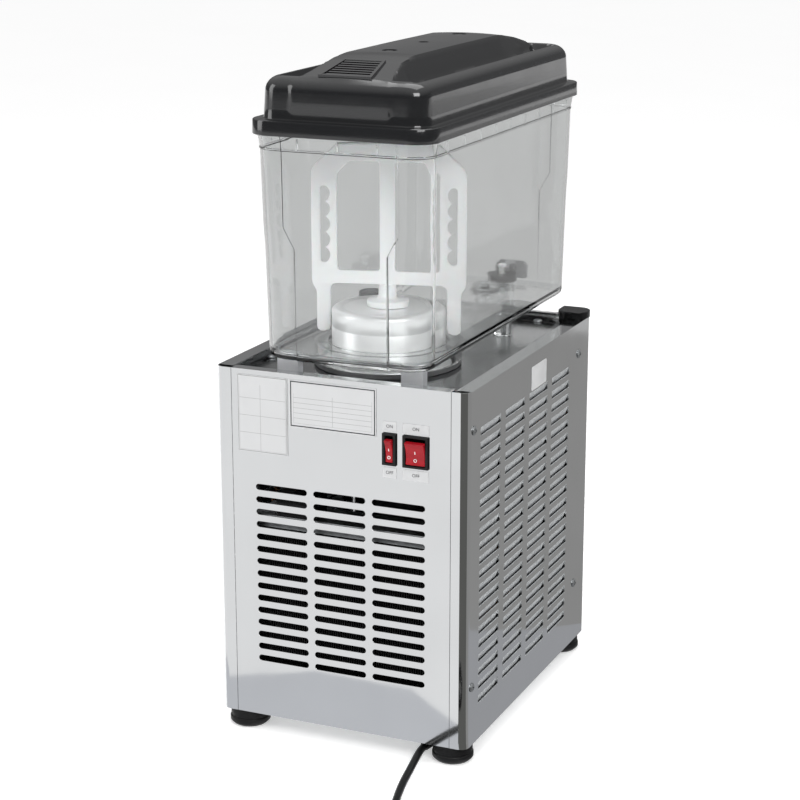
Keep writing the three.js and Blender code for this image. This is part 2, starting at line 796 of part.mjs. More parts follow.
function rearSheet() {
  const half = halfWidth - cabinet.flange - rearPanel.sideGap;
  const radius = rearPanel.edgeRadius;
  const along = (x) => half - radius - x; // the stretch runs from +X to -X
  const columnPitch = 2 * (half - vent.sideMargin) / (vent.columns - 1 + vent.spanShare);
  const rowPitch = (cabinet.height - vent.lowestRow - vent.topMargin) / (vent.rows - 1);
  const middleOf = (i) => along(rearPanel.ventShift) + (i - (vent.columns - 1) / 2) * columnPitch;
  const rowHeight = (j) => up(vent.lowestRow + j * rowPitch);
  const pattern = {
    sLines: Array.from({ length: vent.columns + 1 }, (_, i) => middleOf(i) - columnPitch / 2),
    zLines: Array.from({ length: vent.rows + 1 }, (_, j) => rowHeight(j) - rowPitch / 2),
    loops: Array.from({ length: vent.columns * vent.rows }, (_, k) => slotLoop(
      middleOf(Math.floor(k / vent.rows)),
      rowHeight(k % vent.rows),
      vent.spanShare * columnPitch,
      vent.height,
    )),
  };
  const body = foldedSheet({
    corners: [
      [half, rearFace - rearPanel.returnDepth],
      [half, rearFace],
      [-half, rearFace],
      [-half, rearFace - rearPanel.returnDepth],
    ],
    radius,
    thickness: sheet,
    steps: 2,
    low: floorLine,
    high: cabinetTop,
    pattern,
  });
  const topReturn = block(
    [-half, half],
    [rearFace - rearPanel.topReturn, rearFace - sheet / 2],
    [cabinetTop - sheet, cabinetTop],
  );
  const sideRelief = [-1, 1].map((side) => block(
    [side * (halfWidth - cabinet.topFlange - clearance), side * (halfWidth + overrun)],
    [rearFace - rearPanel.topReturn - overrun, rearFace - cabinet.bendRadius + clearance],
    [cabinetTop - sheet - clearance, cabinetTop + overrun],
  ));
  const middle = cabinetTop - switches.centreDrop;
  const switchHoles = [stirSwitch, coolSwitch].map((unit) => {
    const halfHole = unit.bezelWidth / 2 - switches.bodyInset + clearance;
    const halfTall = switches.bezelHeight / 2 - switches.bodyInset + clearance;
    return block(
      [switchCentre(unit) - halfHole, switchCentre(unit) + halfHole],
      [rearFace - sheet - overrun, rearFace + overrun],
      [middle - halfTall, middle + halfTall],
    );
  });
  return cut(join(body, topReturn), ...sideRelief, ...switchHoles);
}

addPiece('rear_panel', rearSheet(), polished);

function frontSheet() {
  const half = halfWidth - cabinet.flange - rearPanel.sideGap;
  const body = foldedSheet({
    corners: [
      [-half, frontFace + frontPanel.returnDepth],
      [-half, frontFace],
      [half, frontFace],
      [half, frontFace + frontPanel.returnDepth],
    ],
    radius: frontPanel.edgeRadius,
    thickness: sheet,
    steps: 2,
    low: floorLine,
    high: cabinetTop,
  });
  const topReturn = block(
    [-half, half],
    [frontFace + sheet / 2, frontFace + frontPanel.returnDepth],
    [cabinetTop - sheet, cabinetTop],
  );
  return join(body, topReturn);
}

addPiece('front_panel', frontSheet(), polished);

// Moulded caps over the two upper front corners, standing above the deck with a rounded end
function cornerCap() {
  const outerX = halfWidth + cap.overhang;
  const innerX = halfWidth - cap.reach;
  const nearY = frontFace - cap.overhang;
  const farY = frontFace + cap.width;
  const low = cabinetTop + clearance;
  const plan = new THREE.Shape();
  plan.moveTo(innerX, nearY);
  plan.lineTo(outerX - cap.corner, nearY);
  plan.absarc(outerX - cap.corner, nearY + cap.corner, cap.corner, -Math.PI / 2, 0);
  plan.lineTo(outerX, farY - cap.corner);
  plan.absarc(outerX - cap.corner, farY - cap.corner, cap.corner, 0, Math.PI / 2);
  plan.lineTo(innerX + cap.corner, farY);
  plan.absarc(innerX + cap.corner, farY - cap.corner, cap.corner, Math.PI / 2, Math.PI);
  const top = raised(plan, low, cabinetTop + cap.rise, 3);
  const foreSkirt = block(
    [innerX, halfWidth - cabinet.flange - rearPanel.sideGap],
    [nearY, frontFace - clearance],
    [cabinetTop - cap.skirt, low + clearance],
  );
  const stem = block(
    [innerX, halfWidth - cabinet.topFlange - clearance],
    [frontFace + frontPanel.returnDepth + sheet + 2 * clearance, farY - cap.corner],
    [deckTop + clearance, low + clearance],
  );
  return join(top, foreSkirt, stem);
}

const leftCap = cornerCap();
addPiece('corner_cap_left', leftCap, blackPlastic);
addPiece('corner_cap_right', mirroredX(leftCap), blackPlastic);

// Where the two pipes rise through the deck into the drum's coil
const coilOuter = drumRadius - drum.shell - clearance;
const pipeSpot = (side) => [side * (coilOuter - evaporator.wall / 2), drumY];

// Deck: a tray let in below the panels' top, with the drive's hole and four drain slots
function deckPlate() {
  const half = halfWidth - cabinet.trayInset;
  const rear = rearFace - rearPanel.returnDepth - clearance;
  const front = frontFace + frontPanel.returnDepth + clearance;
  const rim = cabinetTop - sheet - clearance;
  const body = block([-half, half], [front, rear], [deckTop - sheet, rim]);
  const hollow = block(
    [-half + sheet, half - sheet],
    [front + sheet, rear - sheet],
    [deckTop, rim + overrun],
  );
  const cutHigh = deckTop + overrun;
  const cutLow = deckTop - sheet - overrun;
  const slots = [-1, 1].flatMap((side) => {
    const x = side * (halfWidth - deckSlot.sideInset);
    const y = fromRear(deckSlot.rearStart);
    const z = [cutLow, cutHigh];
    const forward = frontFace + deckSlot.frontInset;
    const inner = side * (deckSlot.frontOffset - deckSlot.run / 2);
    return [
      block([x - deckSlot.width / 2, x + deckSlot.width / 2], [y - deckSlot.run, y], z),
      block([inner, inner + side * deckSlot.run], [forward, forward + deckSlot.width], z),
    ];
  });
  const pipeHoles = [-1, 1].map((side) => rod(pipe.holeRadius, cutLow, cutHigh, 8, ...pipeSpot(side)));
  return cut(body, hollow, rod(deckHole.radius, cutLow, cutHigh, 16, 0, drumY), ...pipeHoles, ...slots);
}

addPiece('deck', deckPlate(), polished);

// Base pan: the floor tray that carries the cooling unit and the feet
function basePan() {
  const half = halfWidth - cabinet.trayInset;
  const rear = rearFace - rearPanel.returnDepth - clearance;
  const front = frontFace + frontPanel.returnDepth + clearance;
  const body = block([-half, half], [front, rear], [floorLine, floorLine + pan.wallHeight]);
  const hollow = block(
    [-half + sheet, half - sheet],
    [front + sheet, rear - sheet],
    [floorLine + sheet, floorLine + pan.wallHeight + overrun],
  );
  return cut(body, hollow);
}

addPiece('base_pan', basePan(), galvanised);
const panTop = floorLine + sheet;

const footSpots = [
  ['rear_left', 1, foot.inset],
  ['rear_right', -1, foot.inset],
  ['front_left', 1, cabinet.depth - foot.inset],
  ['front_right', -1, cabinet.depth - foot.inset],
];
for (const [place, side, distance] of footSpots) {
  const x = side * (halfWidth - foot.sideInset);
  addPiece(`foot_${place}`, turned([
    [0, 0],
    [foot.soleRadius, 0],
    [foot.radius, foot.soleHeight],
    [foot.radius, foot.tierHeight],
    [foot.neckRadius, foot.height - clearance],
    [0, foot.height - clearance],
  ], 16, x, fromRear(distance)), blackRubber);
}

// Switches: a bezel with its body behind the panel, and a tilting key
function switchHousing(unit) {
  const centre = switchCentre(unit);
  const { bezelWidth } = unit;
  const middle = cabinetTop - switches.centreDrop;
  const seat = rearFace + clearance;
  const halfBezel = bezelWidth / 2;
  const halfTall = switches.bezelHeight / 2;
  const inset = switches.bodyInset;
  const border = switches.bezelBorder;
  const face = seat + switches.bezelThickness;
  const bezel = block(
    [centre - halfBezel, centre + halfBezel],
    [seat, face],
    [middle - halfTall, middle + halfTall],
  );
  const body = block(
    [centre - halfBezel + inset, centre + halfBezel - inset],
    [rearFace - switches.bodyDepth, seat + clearance],
    [middle - halfTall + inset, middle + halfTall - inset],
  );
  const window = block(
    [centre - halfBezel + inset + border, centre + halfBezel - inset - border],
    [face - switches.cavityDepth, face + overrun],
    [middle - halfTall + inset + border / 2, middle + halfTall - inset - border / 2],
  );
  return cut(join(bezel, body), window);
}

function rockerKey(unit) {
  const half = switches.rockerHalfHeight;
  const halfWide = unit.bezelWidth / 2 - switches.bodyInset - switches.bezelBorder - clearance;
  const middle = cabinetTop - switches.centreDrop;
  const pivot = rearFace + clearance + switches.bezelThickness - switches.pivotDepth;
  const key = new THREE.Shape();
  key.moveTo(half, switches.rockerReach);
  key.lineTo(half, switches.rockerHeel);
  key.lineTo(switches.rockerBackRadius, 0);
  key.absarc(0, 0, switches.rockerBackRadius, 0, Math.PI, true);
  key.lineTo(-half, switches.rockerHeel);
  key.lineTo(-half, switches.rockerReach);
  key.quadraticCurveTo(-half / 2, switches.rockerSaddle, 0, switches.rockerSaddle);
  key.quadraticCurveTo(half / 2, switches.rockerSaddle, half, switches.rockerReach);
  const bar = new THREE.ExtrudeGeometry(key, { depth: 2 * halfWide, bevelEnabled: false, curveSegments: 5 });
  bar.translate(0, 0, -halfWide).rotateZ(switches.tilt * degrees);
  const toPanel = new THREE.Matrix4().makeBasis(
    new THREE.Vector3(0, 0, 1),
    new THREE.Vector3(0, 1, 0),
    new THREE.Vector3(-1, 0, 0),
  );
  return bar.applyMatrix4(toPanel).translate(switchCentre(unit), pivot, middle);
}

addPiece('stirring_switch_housing', switchHousing(stirSwitch), blackPlastic);
addPiece('stirring_switch_key', rockerKey(stirSwitch), redPlastic);
addPiece('cooling_switch_housing', switchHousing(coolSwitch), blackPlastic);
addPiece('cooling_switch_key', rockerKey(coolSwitch), redPlastic);

const plateFace = [rearFace + clearance, rearFace + clearance + plates.thickness];
const plateHigh = cabinetTop - plates.drop;
const wiringLeft = halfWidth - wiringPlate.fromSide;
const wiringRight = wiringLeft - wiringPlate.width;
const ratingSpan = [
  switchCentre(stirSwitch) + stirSwitch.bezelWidth / 2 + plates.switchGap,
  wiringRight - plates.betweenGap,
];
addPiece('rating_plate', block(
  ratingSpan,
  plateFace,
  [plateHigh - plates.ratingHeight, plateHigh],
), labelFilm);
addPiece('wiring_plate', block(
  [wiringRight, wiringLeft],
  plateFace,
  [plateHigh - wiringPlate.height, plateHigh],
), labelFilm);

// Cooling drum: a stainless can on the deck, standing up into the bowl
const drumTop = cabinetTop + drum.rise;
const drumSeat = deckTop + clearance;
addPiece('evaporator_drum', turned([
  [0, drumTop - drum.shell],
  [drumRadius - drum.shell, drumTop - drum.shell],
  [drumRadius - drum.shell, drumSeat],
  [flangeRadius, drumSeat],
  [flangeRadius, drumSeat + drum.shell],
  [drumRadius, drumSeat + drum.shell],
  ...[0, 1, 2, 3].map((step) => {
    const angle = step / 3 * turn / 4;
    const middle = drumRadius - drum.edgeRound;
    return [middle + drum.edgeRound * Math.cos(angle), drumTop - drum.edgeRound * (1 - Math.sin(angle))];
  }),
  [drum.pinRadius, drumTop],
  [drum.pinRadius, drumTop + drum.pinHeight],
  [0, drumTop + drum.pinHeight],
], drum.steps, 0, drumY), polished);

const coilLow = drumSeat + evaporator.low;
addPiece('evaporator_coil', tube(
  coilOuter - evaporator.wall,
  coilOuter,
  coilLow,
  drumTop - drum.shell - clearance,
  drum.steps,
  0,
  drumY,
), copper);

// Bowl seal on the deck, round the drum's flange
const collarUnder = deckTop + bowl.collarRise;
addPiece('bowl_seal', tube(
  flangeRadius + seal.gap,
  collarRadius,
  drumSeat,
  collarUnder - clearance,
  drum.steps,
  0,
  drumY,
), blackRubber);

// Bowl: drafted walls, larger corners low down, flared rim, collar, legs and the tap's hole
function bowlHalf(height) {
  const share = (bowl.wallHeight - height) / bowl.wallHeight;
  return [bowl.halfWidth - bowl.sideDraft * share, bowlHalfLength - bowl.endDraft * share];
}

function bowlRings(inset, low) {
  const at = (height, corner, out = 0) => {
    const [x, y] = bowlHalf(Math.min(height, bowl.wallHeight));
    const grow = out - inset;
    return roundedRing(x + grow, y + grow, corner + grow, bowlUnder + height, bowlMiddle);
  };
  const round = bowl.edgeRound;
  const jogTop = bowl.jogLow + bowl.jogHeight;
  return [
    at(low, bowl.lowCorner, -round),
    at(low + round * (1 - Math.SQRT1_2), bowl.lowCorner, -round * (1 - Math.SQRT1_2)),
    at(low + round, bowl.lowCorner),
    at(bowl.jogLow, bowl.lowCorner),
    at(jogTop, bowl.topCorner),
    at(bowl.wallHeight, bowl.topCorner),
    at(bowl.wallHeight + bowl.rimFlareHeight, bowl.topCorner, bowl.rimFlare),
    at(bowl.wallHeight + bowl.rimHeight + (inset ? overrun : 0), bowl.topCorner, bowl.rimFlare),
  ];
}

const bowlBody = (() => {
  const shell = cut(
    loft(bowlRings(0, 0)),
    loft(bowlRings(bowl.wall, bowl.floor)),
    rod(
      drumRadius + bowl.openingGap,
      bowlUnder - overrun,
      bowlUnder + bowl.floor + overrun,
      drum.steps,
      0,
      drumY,
    ),
  );
  const collar = tube(
    collarRadius - bowl.collarWall,
    collarRadius,
    collarUnder,
    bowlUnder + bowl.floor / 2,
    drum.steps,
    0,
    drumY,
  );
  const legLow = deckTop + clearance;
  const legs = [-1, 1].flatMap((side) => [
    rod(
      bowl.legRadius,
      legLow,
      bowlUnder + bowl.floor / 2,
      10,
      side * bowl.legSide,
      drumY - bowl.legFromDrum,
    ),
  ]);
  const [, endHalf] = bowlHalf(0);
  const tabRear = bowlMiddle + endHalf - bowl.tabInset;
  const tabs = [-1, 1].map((side) => block(
    [side * (bowl.tabSide - bowl.tabWidth / 2), side * (bowl.tabSide + bowl.tabWidth / 2)],
    [tabRear - bowl.tabDepth, tabRear],
    [legLow, bowlUnder + bowl.floor / 2],
  ));
  const outlet = rod(
    tap.inletRadius + clearance,
    bowlUnder - overrun,
    bowlUnder + bowl.floor + overrun,
    12,
    0,
    bowlFront + tap.inletInset,
  );
  return cut(join(shell, collar, ...legs, ...tabs), outlet);
})();
addPiece('bowl', bowlBody, clearPlastic);

// Lid: a skirt over the rim, a rounded shell, a long hump and a sunk valley on each side of it
const skirtLow = bowlTop - lid.skirtOverlap;
const skirtTop = skirtLow + lid.skirtHeight;
const ledge = skirtTop + lid.shellHeight;
const lidRear = bowlMiddle + lidHalfLength;

function humpSection(distance, low, rise, topHalf, baseHalf) {
  const y = lidRear - distance;
  const top = ledge + rise;
  return [[baseHalf, y, low], [topHalf, y, top], [-topHalf, y, top], [-baseHalf, y, low]];
}

function hump(inset, low) {
  const length = 2 * lidHalfLength;
  return loft(humpProfile.alongShares.map((share, k) => {
    const rise = humpProfile.riseShares[k] * lid.humpRise - inset;
    const topHalf = lid.humpTop + (lid.humpBase - lid.humpTop) * humpProfile.widthShares[k] - inset;
    const baseHalf = lid.valleyInner - inset;
    const ends = k === 0 ? inset : k === humpProfile.alongShares.length - 1 ? -inset : 0;
    return humpSection(share * length + ends, low, rise, Math.max(topHalf, inset), baseHalf);
  }));
}

function lidShell(inset, low, high) {
  const halfX = lidHalfWidth - lid.shoulder - inset;
  const halfY = lidHalfLength - lid.shoulder - inset;
  const corner = lid.corner - lid.shoulder - inset / 2;
  const round = lid.shellRound - inset / 2;
  const rings = [roundedRing(halfX, halfY, corner, low, bowlMiddle)];
  for (const step of [0, 1, 2, 3]) {
    const angle = step / 3 * turn / 4;
    const pull = round * (1 - Math.cos(angle));
    const height = high - round * (1 - Math.sin(angle));
    const tightened = corner - pull * lid.shellCornerShare;
    rings.push(roundedRing(halfX - pull, halfY - pull, tightened, height, bowlMiddle));
  }
  return loft(rings);
}

function valley(side) {
  const floor = ledge - lid.valleyDepth;
  const rear = bowlMiddle + lidHalfLength - lid.valleyEndInset;
  const front = bowlMiddle - lidHalfLength + lid.valleyEndInset;
  const slope = lid.valleySlope;
  const outer = side * lid.valleyOuter;
  const inner = side * lid.humpTop;
  const section = (y, z, out) => [
    [inner, y, z],
    [outer + side * out, y, z],
  ];
  const low = [...section(rear - slope, floor, -slope), ...section(front + slope, floor, -slope).reverse()];
  const high = [
    ...section(rear + slope / 2, ledge + overrun, 1),
    ...section(front - slope / 2, ledge + overrun, 1).reverse(),
  ];
  return loft([low, high]);
}

const lidBody = (() => {
  const skirt = loft([
    roundedRing(lidHalfWidth, lidHalfLength, lid.corner, skirtLow, bowlMiddle),
    roundedRing(lidHalfWidth - clearance, lidHalfLength - clearance, lid.corner, skirtTop, bowlMiddle),
  ]);
  const shell = lidShell(0, skirtLow + lid.wall, ledge);
  const outside = cut(join(skirt, shell), valley(1), valley(-1));
  const roofInside = ledge - lid.valleyDepth - lid.wall;
  const skirtHollow = loft([skirtLow - overrun, bowlTop + clearance].map((z) => roundedRing(
    lidHalfWidth - lid.wall,
    lidHalfLength - lid.wall,
    lid.corner - lid.wall,
    z,
    bowlMiddle,
  )));
  const whole = join(outside, hump(0, roofInside + lid.wall / 2));
  const grilleY = [lidRear - lid.grilleFront, lidRear - lid.grilleRear];
  const pocketTop = ledge + lid.humpRise;
  return cut(
    whole,
    skirtHollow,
    lidShell(lid.wall, bowlTop - overrun, roofInside),
    hump(lid.wall, roofInside - overrun),
    ...lidHoleShares.map((share, k) => rod(
      k === 1 ? lid.smallHoleRadius : lid.holeRadius,
      pocketTop - lid.holeDepth,
      pocketTop + overrun,
      12,
      0,
      lidRear - share * 2 * lidHalfLength,
    )),
    grillePocket(grilleY, overrun, 0, lid.grilleDepth),
    grillePocket(grilleY, overrun, lid.grilleLedge, lid.shellHeight),
  );
})();

// The grille lies in the hump's rear slope, so its frame follows that slope
function grilleHeight(y) {
  const length = 2 * lidHalfLength;
  const [a, b] = [1, 2];
  const yA = lidRear - humpProfile.alongShares[a] * length;
  const yB = lidRear - humpProfile.alongShares[b] * length;
  const share = (y - yA) / (yB - yA);
  const { riseShares } = humpProfile;
  return ledge + lid.humpRise * (riseShares[a] + (riseShares[b] - riseShares[a]) * share);
}

function grillePocket([front, rear], above, shrink, depth) {
  const corner = (x, y, lift) => [x, y, grilleHeight(y) + lift];
  const ring = (lift) => [
    corner(-lid.grilleHalfRear + shrink, rear - shrink, lift),
    corner(lid.grilleHalfRear - shrink, rear - shrink, lift),
    corner(lid.grilleHalfFront - shrink, front + shrink, lift),
    corner(-lid.grilleHalfFront + shrink, front + shrink, lift),
  ];
  return loft([ring(-depth), ring(above)]);
}

addPiece('lid', lidBody, lidPlastic);

const grilleEdges = [lidRear - lid.grilleFront, lidRear - lid.grilleRear];

function ventGrille() {
  const { count, border, widthShare } = grilleSlots;
  const plate = grillePocket(grilleEdges, lid.grilleProud, clearance, lid.grilleDepth - clearance);
  const [front, rear] = [grilleEdges[0] + border, grilleEdges[1] - border];
  const pitch = (rear - front) / count;
  const slots = Array.from({ length: count }, (_, k) => {
    const y = front + (k + 0.5) * pitch;
    const share = (y - grilleEdges[0]) / (grilleEdges[1] - grilleEdges[0]);
    const half = lid.grilleHalfFront + (lid.grilleHalfRear - lid.grilleHalfFront) * share - border;
    const z = grilleHeight(y);
    const halfSlot = pitch * widthShare / 2;
    return block([-half, half], [y - halfSlot, y + halfSlot], [z - border, z + border]);
  });
  return cut(plate, ...slots);
}

addPiece('vent_grille', ventGrille(), lidPlastic);

// Stirring paddle: a flat plate through the drum's axis, its legs hanging on each side of the drum
function paddleBody() {
  const z = (height) => cabinetTop + height;
  const top = bowlTop - paddle.belowRim;
  const legInner = drumRadius + paddle.legGap;
  const legOuter = legInner + paddle.legWidth;
  const outer = legOuter + paddle.shoulderWidth;
  const inner = outer - paddle.frameWidth;
  const slotCentre = outer - paddle.slotInset;
  const half = [
    [0, z(paddle.barLow)],
    [legInner, z(paddle.barLow)],
    [legInner, z(paddle.foot + paddle.legRound)],
    [legInner + paddle.legRound / 3, z(paddle.foot + paddle.legRound / 4)],
    [legInner + paddle.legRound, z(paddle.foot)],
    [legOuter - paddle.legRound / 2, z(paddle.foot)],
    [legOuter, z(paddle.foot + paddle.legRound / 2)],
    [legOuter, z(paddle.shoulder)],
    [outer, z(paddle.barLow)],
    [outer, top - paddle.topChamfer],
    [outer - paddle.topChamfer, top],
  ];
  const left = half.slice(1).map(([x, height]) => [-x, height]).reverse();
  const plate = upright(outline([...half, ...left]), paddle.thickness, 0);
  const windowTop = top - paddle.topBar;
  const openings = [];
  for (const side of [-1, 1]) {
    openings.push(outline([
      [side * paddle.stem, z(paddle.barHigh)],
      [side * inner, z(paddle.barHigh)],
      [side * inner, windowTop - paddle.windowChamfer],
      [side * (inner - paddle.windowChamfer), windowTop],
      [side * paddle.stem, windowTop],
    ]));
    const edge = [];
    const slotLow = z(paddle.slotLow);
    const slotHigh = top - paddle.slotHeadroom;
    const waveSteps = paddle.waves * 3;
    for (let k = 0; k <= waveSteps; k++) {
      const share = k / waveSteps;
      const height = slotLow + (slotHigh - slotLow) * share;
      const bay = Math.abs(Math.sin(share * paddle.waves * Math.PI)) * paddle.waveDepth;
      edge.push([side * (slotCentre - paddle.slotHalf + paddle.waveDepth - bay), height]);
    }
    const straight = side * (slotCentre + paddle.slotHalf);
    edge.push([straight, slotHigh - paddle.slotHalf], [straight, slotLow + paddle.slotHalf]);
    openings.push(outline(edge));
  }
  const cutters = openings.map((shape) => upright(shape, paddle.thickness + overrun, 0));
  const hubLow = drumTop + running;
  const boreTop = drumTop + drum.pinHeight + running;
  const bore = drum.pinRadius + running;
  const hub = turned([
    [bore, hubLow],
    [paddle.hubRadius, hubLow],
    [paddle.hubRadius, hubLow + paddle.hubHeight],
    [paddle.hubNeck, hubLow + paddle.hubHeight + clearance],
    [paddle.hubNeck, z(paddle.barLow) + overrun],
    [0, z(paddle.barLow) + overrun],
    [0, boreTop],
    [bore, boreTop],
    [bore, hubLow],
  ], 16);
  return join(cut(plate, ...cutters), hub).rotateZ(paddle.turn * degrees).translate(0, drumY, 0);
}

addPiece('stirring_paddle', paddleBody(), whitePlastic);

// Stirring drive: a motor hung under the deck turns a magnet disc inside the drum
const motorTop = deckTop - sheet - clearance;
const driveBore = magnet.shaftRadius + running;
const motorFlange = drumRadius * stirMotor.flangeShare;
const motorRadius = drumRadius * stirMotor.canShare;
addPiece('stirring_motor', turned([
  [0, motorTop - stirMotor.height],
  [motorRadius, motorTop - stirMotor.height],
  [motorRadius, motorTop - stirMotor.flangeHeight],
  [motorFlange, motorTop - stirMotor.flangeHeight],
  [motorFlange, motorTop],
  [driveBore, motorTop],
  [driveBore, motorTop - stirMotor.boreDepth],
  [0, motorTop - stirMotor.boreDepth],
], 16, 0, drumY), paintedBlack);

const discTop = drumTop - drum.shell - magnet.headroom;
const discRadius = drumRadius * magnet.discShare;
addPiece('drive_magnet', turned([
  [0, motorTop - stirMotor.boreDepth + clearance],
  [magnet.shaftRadius, motorTop - stirMotor.boreDepth + clearance],
  [magnet.shaftRadius, discTop - magnet.height],
  [discRadius, discTop - magnet.height],
  [discRadius, discTop],
  [0, discTop],
], 16, 0, drumY), galvanised);

// Tap: an inlet through the bowl's floor, a channel to the barrel, and a sprung piston on its seat
const inletY = bowlFront + tap.inletInset;
const barrelY = bowlFront - tap.barrelReach;
const floorTop = bowlUnder + bowl.floor;
const flangeTop = bowlUnder - tap.washer - 2 * clearance;
const channelZ = bowlUnder - tap.channelDrop;
const barrelTop = bowlUnder + tap.barrelRise;
const barrelLow = barrelTop - tap.barrelHeight;
const seatTop = barrelLow + tap.seatThickness;

function tapBody() {
  const inletTop = floorTop + tap.inletRise;
  const inlet = rod(tap.inletRadius, channelZ, inletTop, 12, 0, inletY);
  const flange = rod(tap.flangeRadius, flangeTop - tap.flangeThickness, flangeTop, 16, 0, inletY);
  const channel = rodAlongY(tap.channelRadius, barrelY, inletY + tap.inletRadius, 12, 0, channelZ);
  const barrel = rod(tap.barrelRadius, barrelLow, barrelTop, 16, 0, barrelY);
  const outlet = rod(tap.outletRadius, barrelLow - tap.outletLength, seatTop, 12, 0, barrelY);
  return cut(
    join(channel, inlet, flange, barrel, outlet),
    rod(tap.inletBore, channelZ, inletTop + overrun, 12, 0, inletY),
    rodAlongY(tap.inletBore, barrelY, inletY, 12, 0, channelZ),
    rod(tap.barrelBore, seatTop, barrelTop + overrun, 16, 0, barrelY),
    rod(tap.outletBore, barrelLow - tap.outletLength - overrun, seatTop + overrun, 12, 0, barrelY),
  );
}

addPiece('tap_body', tapBody(), clearPlastic);
addPiece('tap_nut', tube(
  tap.inletRadius + clearance,
  tap.nutRadius,
  floorTop + clearance,
  floorTop + clearance + tap.nutHeight,
  12,
  0,
  inletY,
), clearPlastic);
addPiece('tap_washer', tube(
  tap.inletRadius + clearance,
  tap.flangeRadius,
  flangeTop + clearance,
  bowlUnder - clearance,
  12,
  0,
  inletY,
), blackRubber);

const tapCapTop = barrelTop + clearance + tap.capThickness;
const pivotY = barrelY - tap.leverArm;
const pivotZ = tapCapTop + tap.pivotRise;
function tapCap() {
  const outer = tap.barrelRadius + clearance + tap.capWall;
  const body = turned([
    [tap.stemRadius + running, barrelTop + clearance],
    [tap.barrelRadius + clearance, barrelTop + clearance],
    [tap.barrelRadius + clearance, barrelTop - tap.capSkirt],
    [outer, barrelTop - tap.capSkirt],
    [outer, tapCapTop],
    [tap.stemRadius + running, tapCapTop],
    [tap.stemRadius + running, barrelTop + clearance],
  ], 16, 0, barrelY);
  const ears = [-1, 1].flatMap((side) => {
    const x = [side * tap.earGap / 2, side * (tap.earGap / 2 + tap.earWidth)];
    return [
      rodAlongX(tap.earRadius, Math.min(...x), Math.max(...x), 10, pivotY, pivotZ),
      block(x, [pivotY - tap.earRadius, pivotY + tap.earRadius], [tapCapTop - clearance, pivotZ]),
    ];
  });
  const reach = tap.earGap / 2 + tap.earWidth + overrun;
  return cut(join(body, ...ears), rodAlongX(tap.pinRadius + clearance, -reach, reach, 12, pivotY, pivotZ));
}

addPiece('tap_cap', tapCap(), blackPlastic);
const pinEnd = tap.earGap / 2 + tap.earWidth;
addPiece('lever_pin', rodAlongX(tap.pinRadius, -pinEnd, pinEnd, 12, pivotY, pivotZ), polished);

function tapLever() {
  const halfThick = tap.leverThickness / 2;
  const forkEnd = tap.leverArm + tap.forkBeyond;
  const out = -tap.handleReach;
  const side = [
    [forkEnd, -halfThick],
    [forkEnd, halfThick],
    [0, halfThick],
    [out, halfThick + tap.handleRise / 2],
    [out, -halfThick],
    [0, -halfThick],
  ];
  const arm = outline(side);
  const bar = new THREE.ExtrudeGeometry(arm, { depth: tap.leverWidth, bevelEnabled: false });
  const toSide = new THREE.Matrix4().makeBasis(
    new THREE.Vector3(0, 1, 0),
    new THREE.Vector3(0, 0, 1),
    new THREE.Vector3(1, 0, 0),
  );
  bar.applyMatrix4(toSide).translate(-tap.leverWidth / 2, pivotY, pivotZ);
  const boss = rodAlongX(tap.earRadius, -tap.leverWidth / 2, tap.leverWidth / 2, 12, pivotY, pivotZ);
  const padHalf = tap.handleWidth / 2;
  const padRing = (inset, height) => roundedRing(
    padHalf - inset,
    tap.handleThickness / 2,
    tap.handleThickness / 3,
    pivotZ + height,
    pivotY + out,
  );
  const pad = loft([
    padRing(tap.handleRise, -tap.handleDrop),
    padRing(0, tap.handleRise - tap.handleDrop),
    padRing(0, 0),
    padRing(tap.handleRise, tap.handleRise),
  ]);
  const slotHalf = tap.stemRadius + running;
  const slot = block(
    [-slotHalf, slotHalf],
    [barrelY - slotHalf - clearance, barrelY + slotHalf + overrun],
    [pivotZ - tap.earRadius, pivotZ + tap.earRadius],
  );
  const pinHole = rodAlongX(tap.pinRadius + clearance, -padHalf, padHalf, 12, pivotY, pivotZ);
  return cut(join(bar, boss, pad), slot, pinHole);
}

addPiece('tap_lever', tapLever(), blackPlastic);

const pistonLow = seatTop + clearance;
const headLow = pivotZ + tap.leverThickness / 2 + clearance;
addPiece('tap_piston', turned([
  [0, pistonLow],
  [tap.outletBore + clearance, pistonLow],
  [tap.pistonRadius, pistonLow + overrun],
  [tap.pistonRadius, pistonLow + tap.pistonHeight],
  [tap.stemRadius, pistonLow + tap.pistonHeight],
  [tap.stemRadius, headLow],
  [tap.stemHeadRadius, headLow],
  [tap.stemHeadRadius, headLow + tap.stemHeadHeight],
  [0, headLow + tap.stemHeadHeight],
], 16, 0, barrelY), whitePlastic);

// The piston's spring: closed end turns and an open helix between them
function tapSpring() {
  const low = pistonLow + tap.pistonHeight + clearance + tap.springWire / 2;
  const high = barrelTop + clearance - clearance - tap.springWire / 2;
  const points = [];
  const perTurn = 10;
  const count = tap.springTurns * perTurn;
  for (let k = 0; k <= count; k++) {
    const angle = k / perTurn * turn;
    points.push(new THREE.Vector3(
      tap.springRadius * Math.cos(angle),
      barrelY + tap.springRadius * Math.sin(angle),
      low + (high - low) * k / count,
    ));
  }
  const line = new THREE.CatmullRomCurve3(points, false, 'centripetal');
  return sweptTube(line, tap.springWire / 2, 5, count);
}

addPiece('tap_spring', tapSpring(), polished);

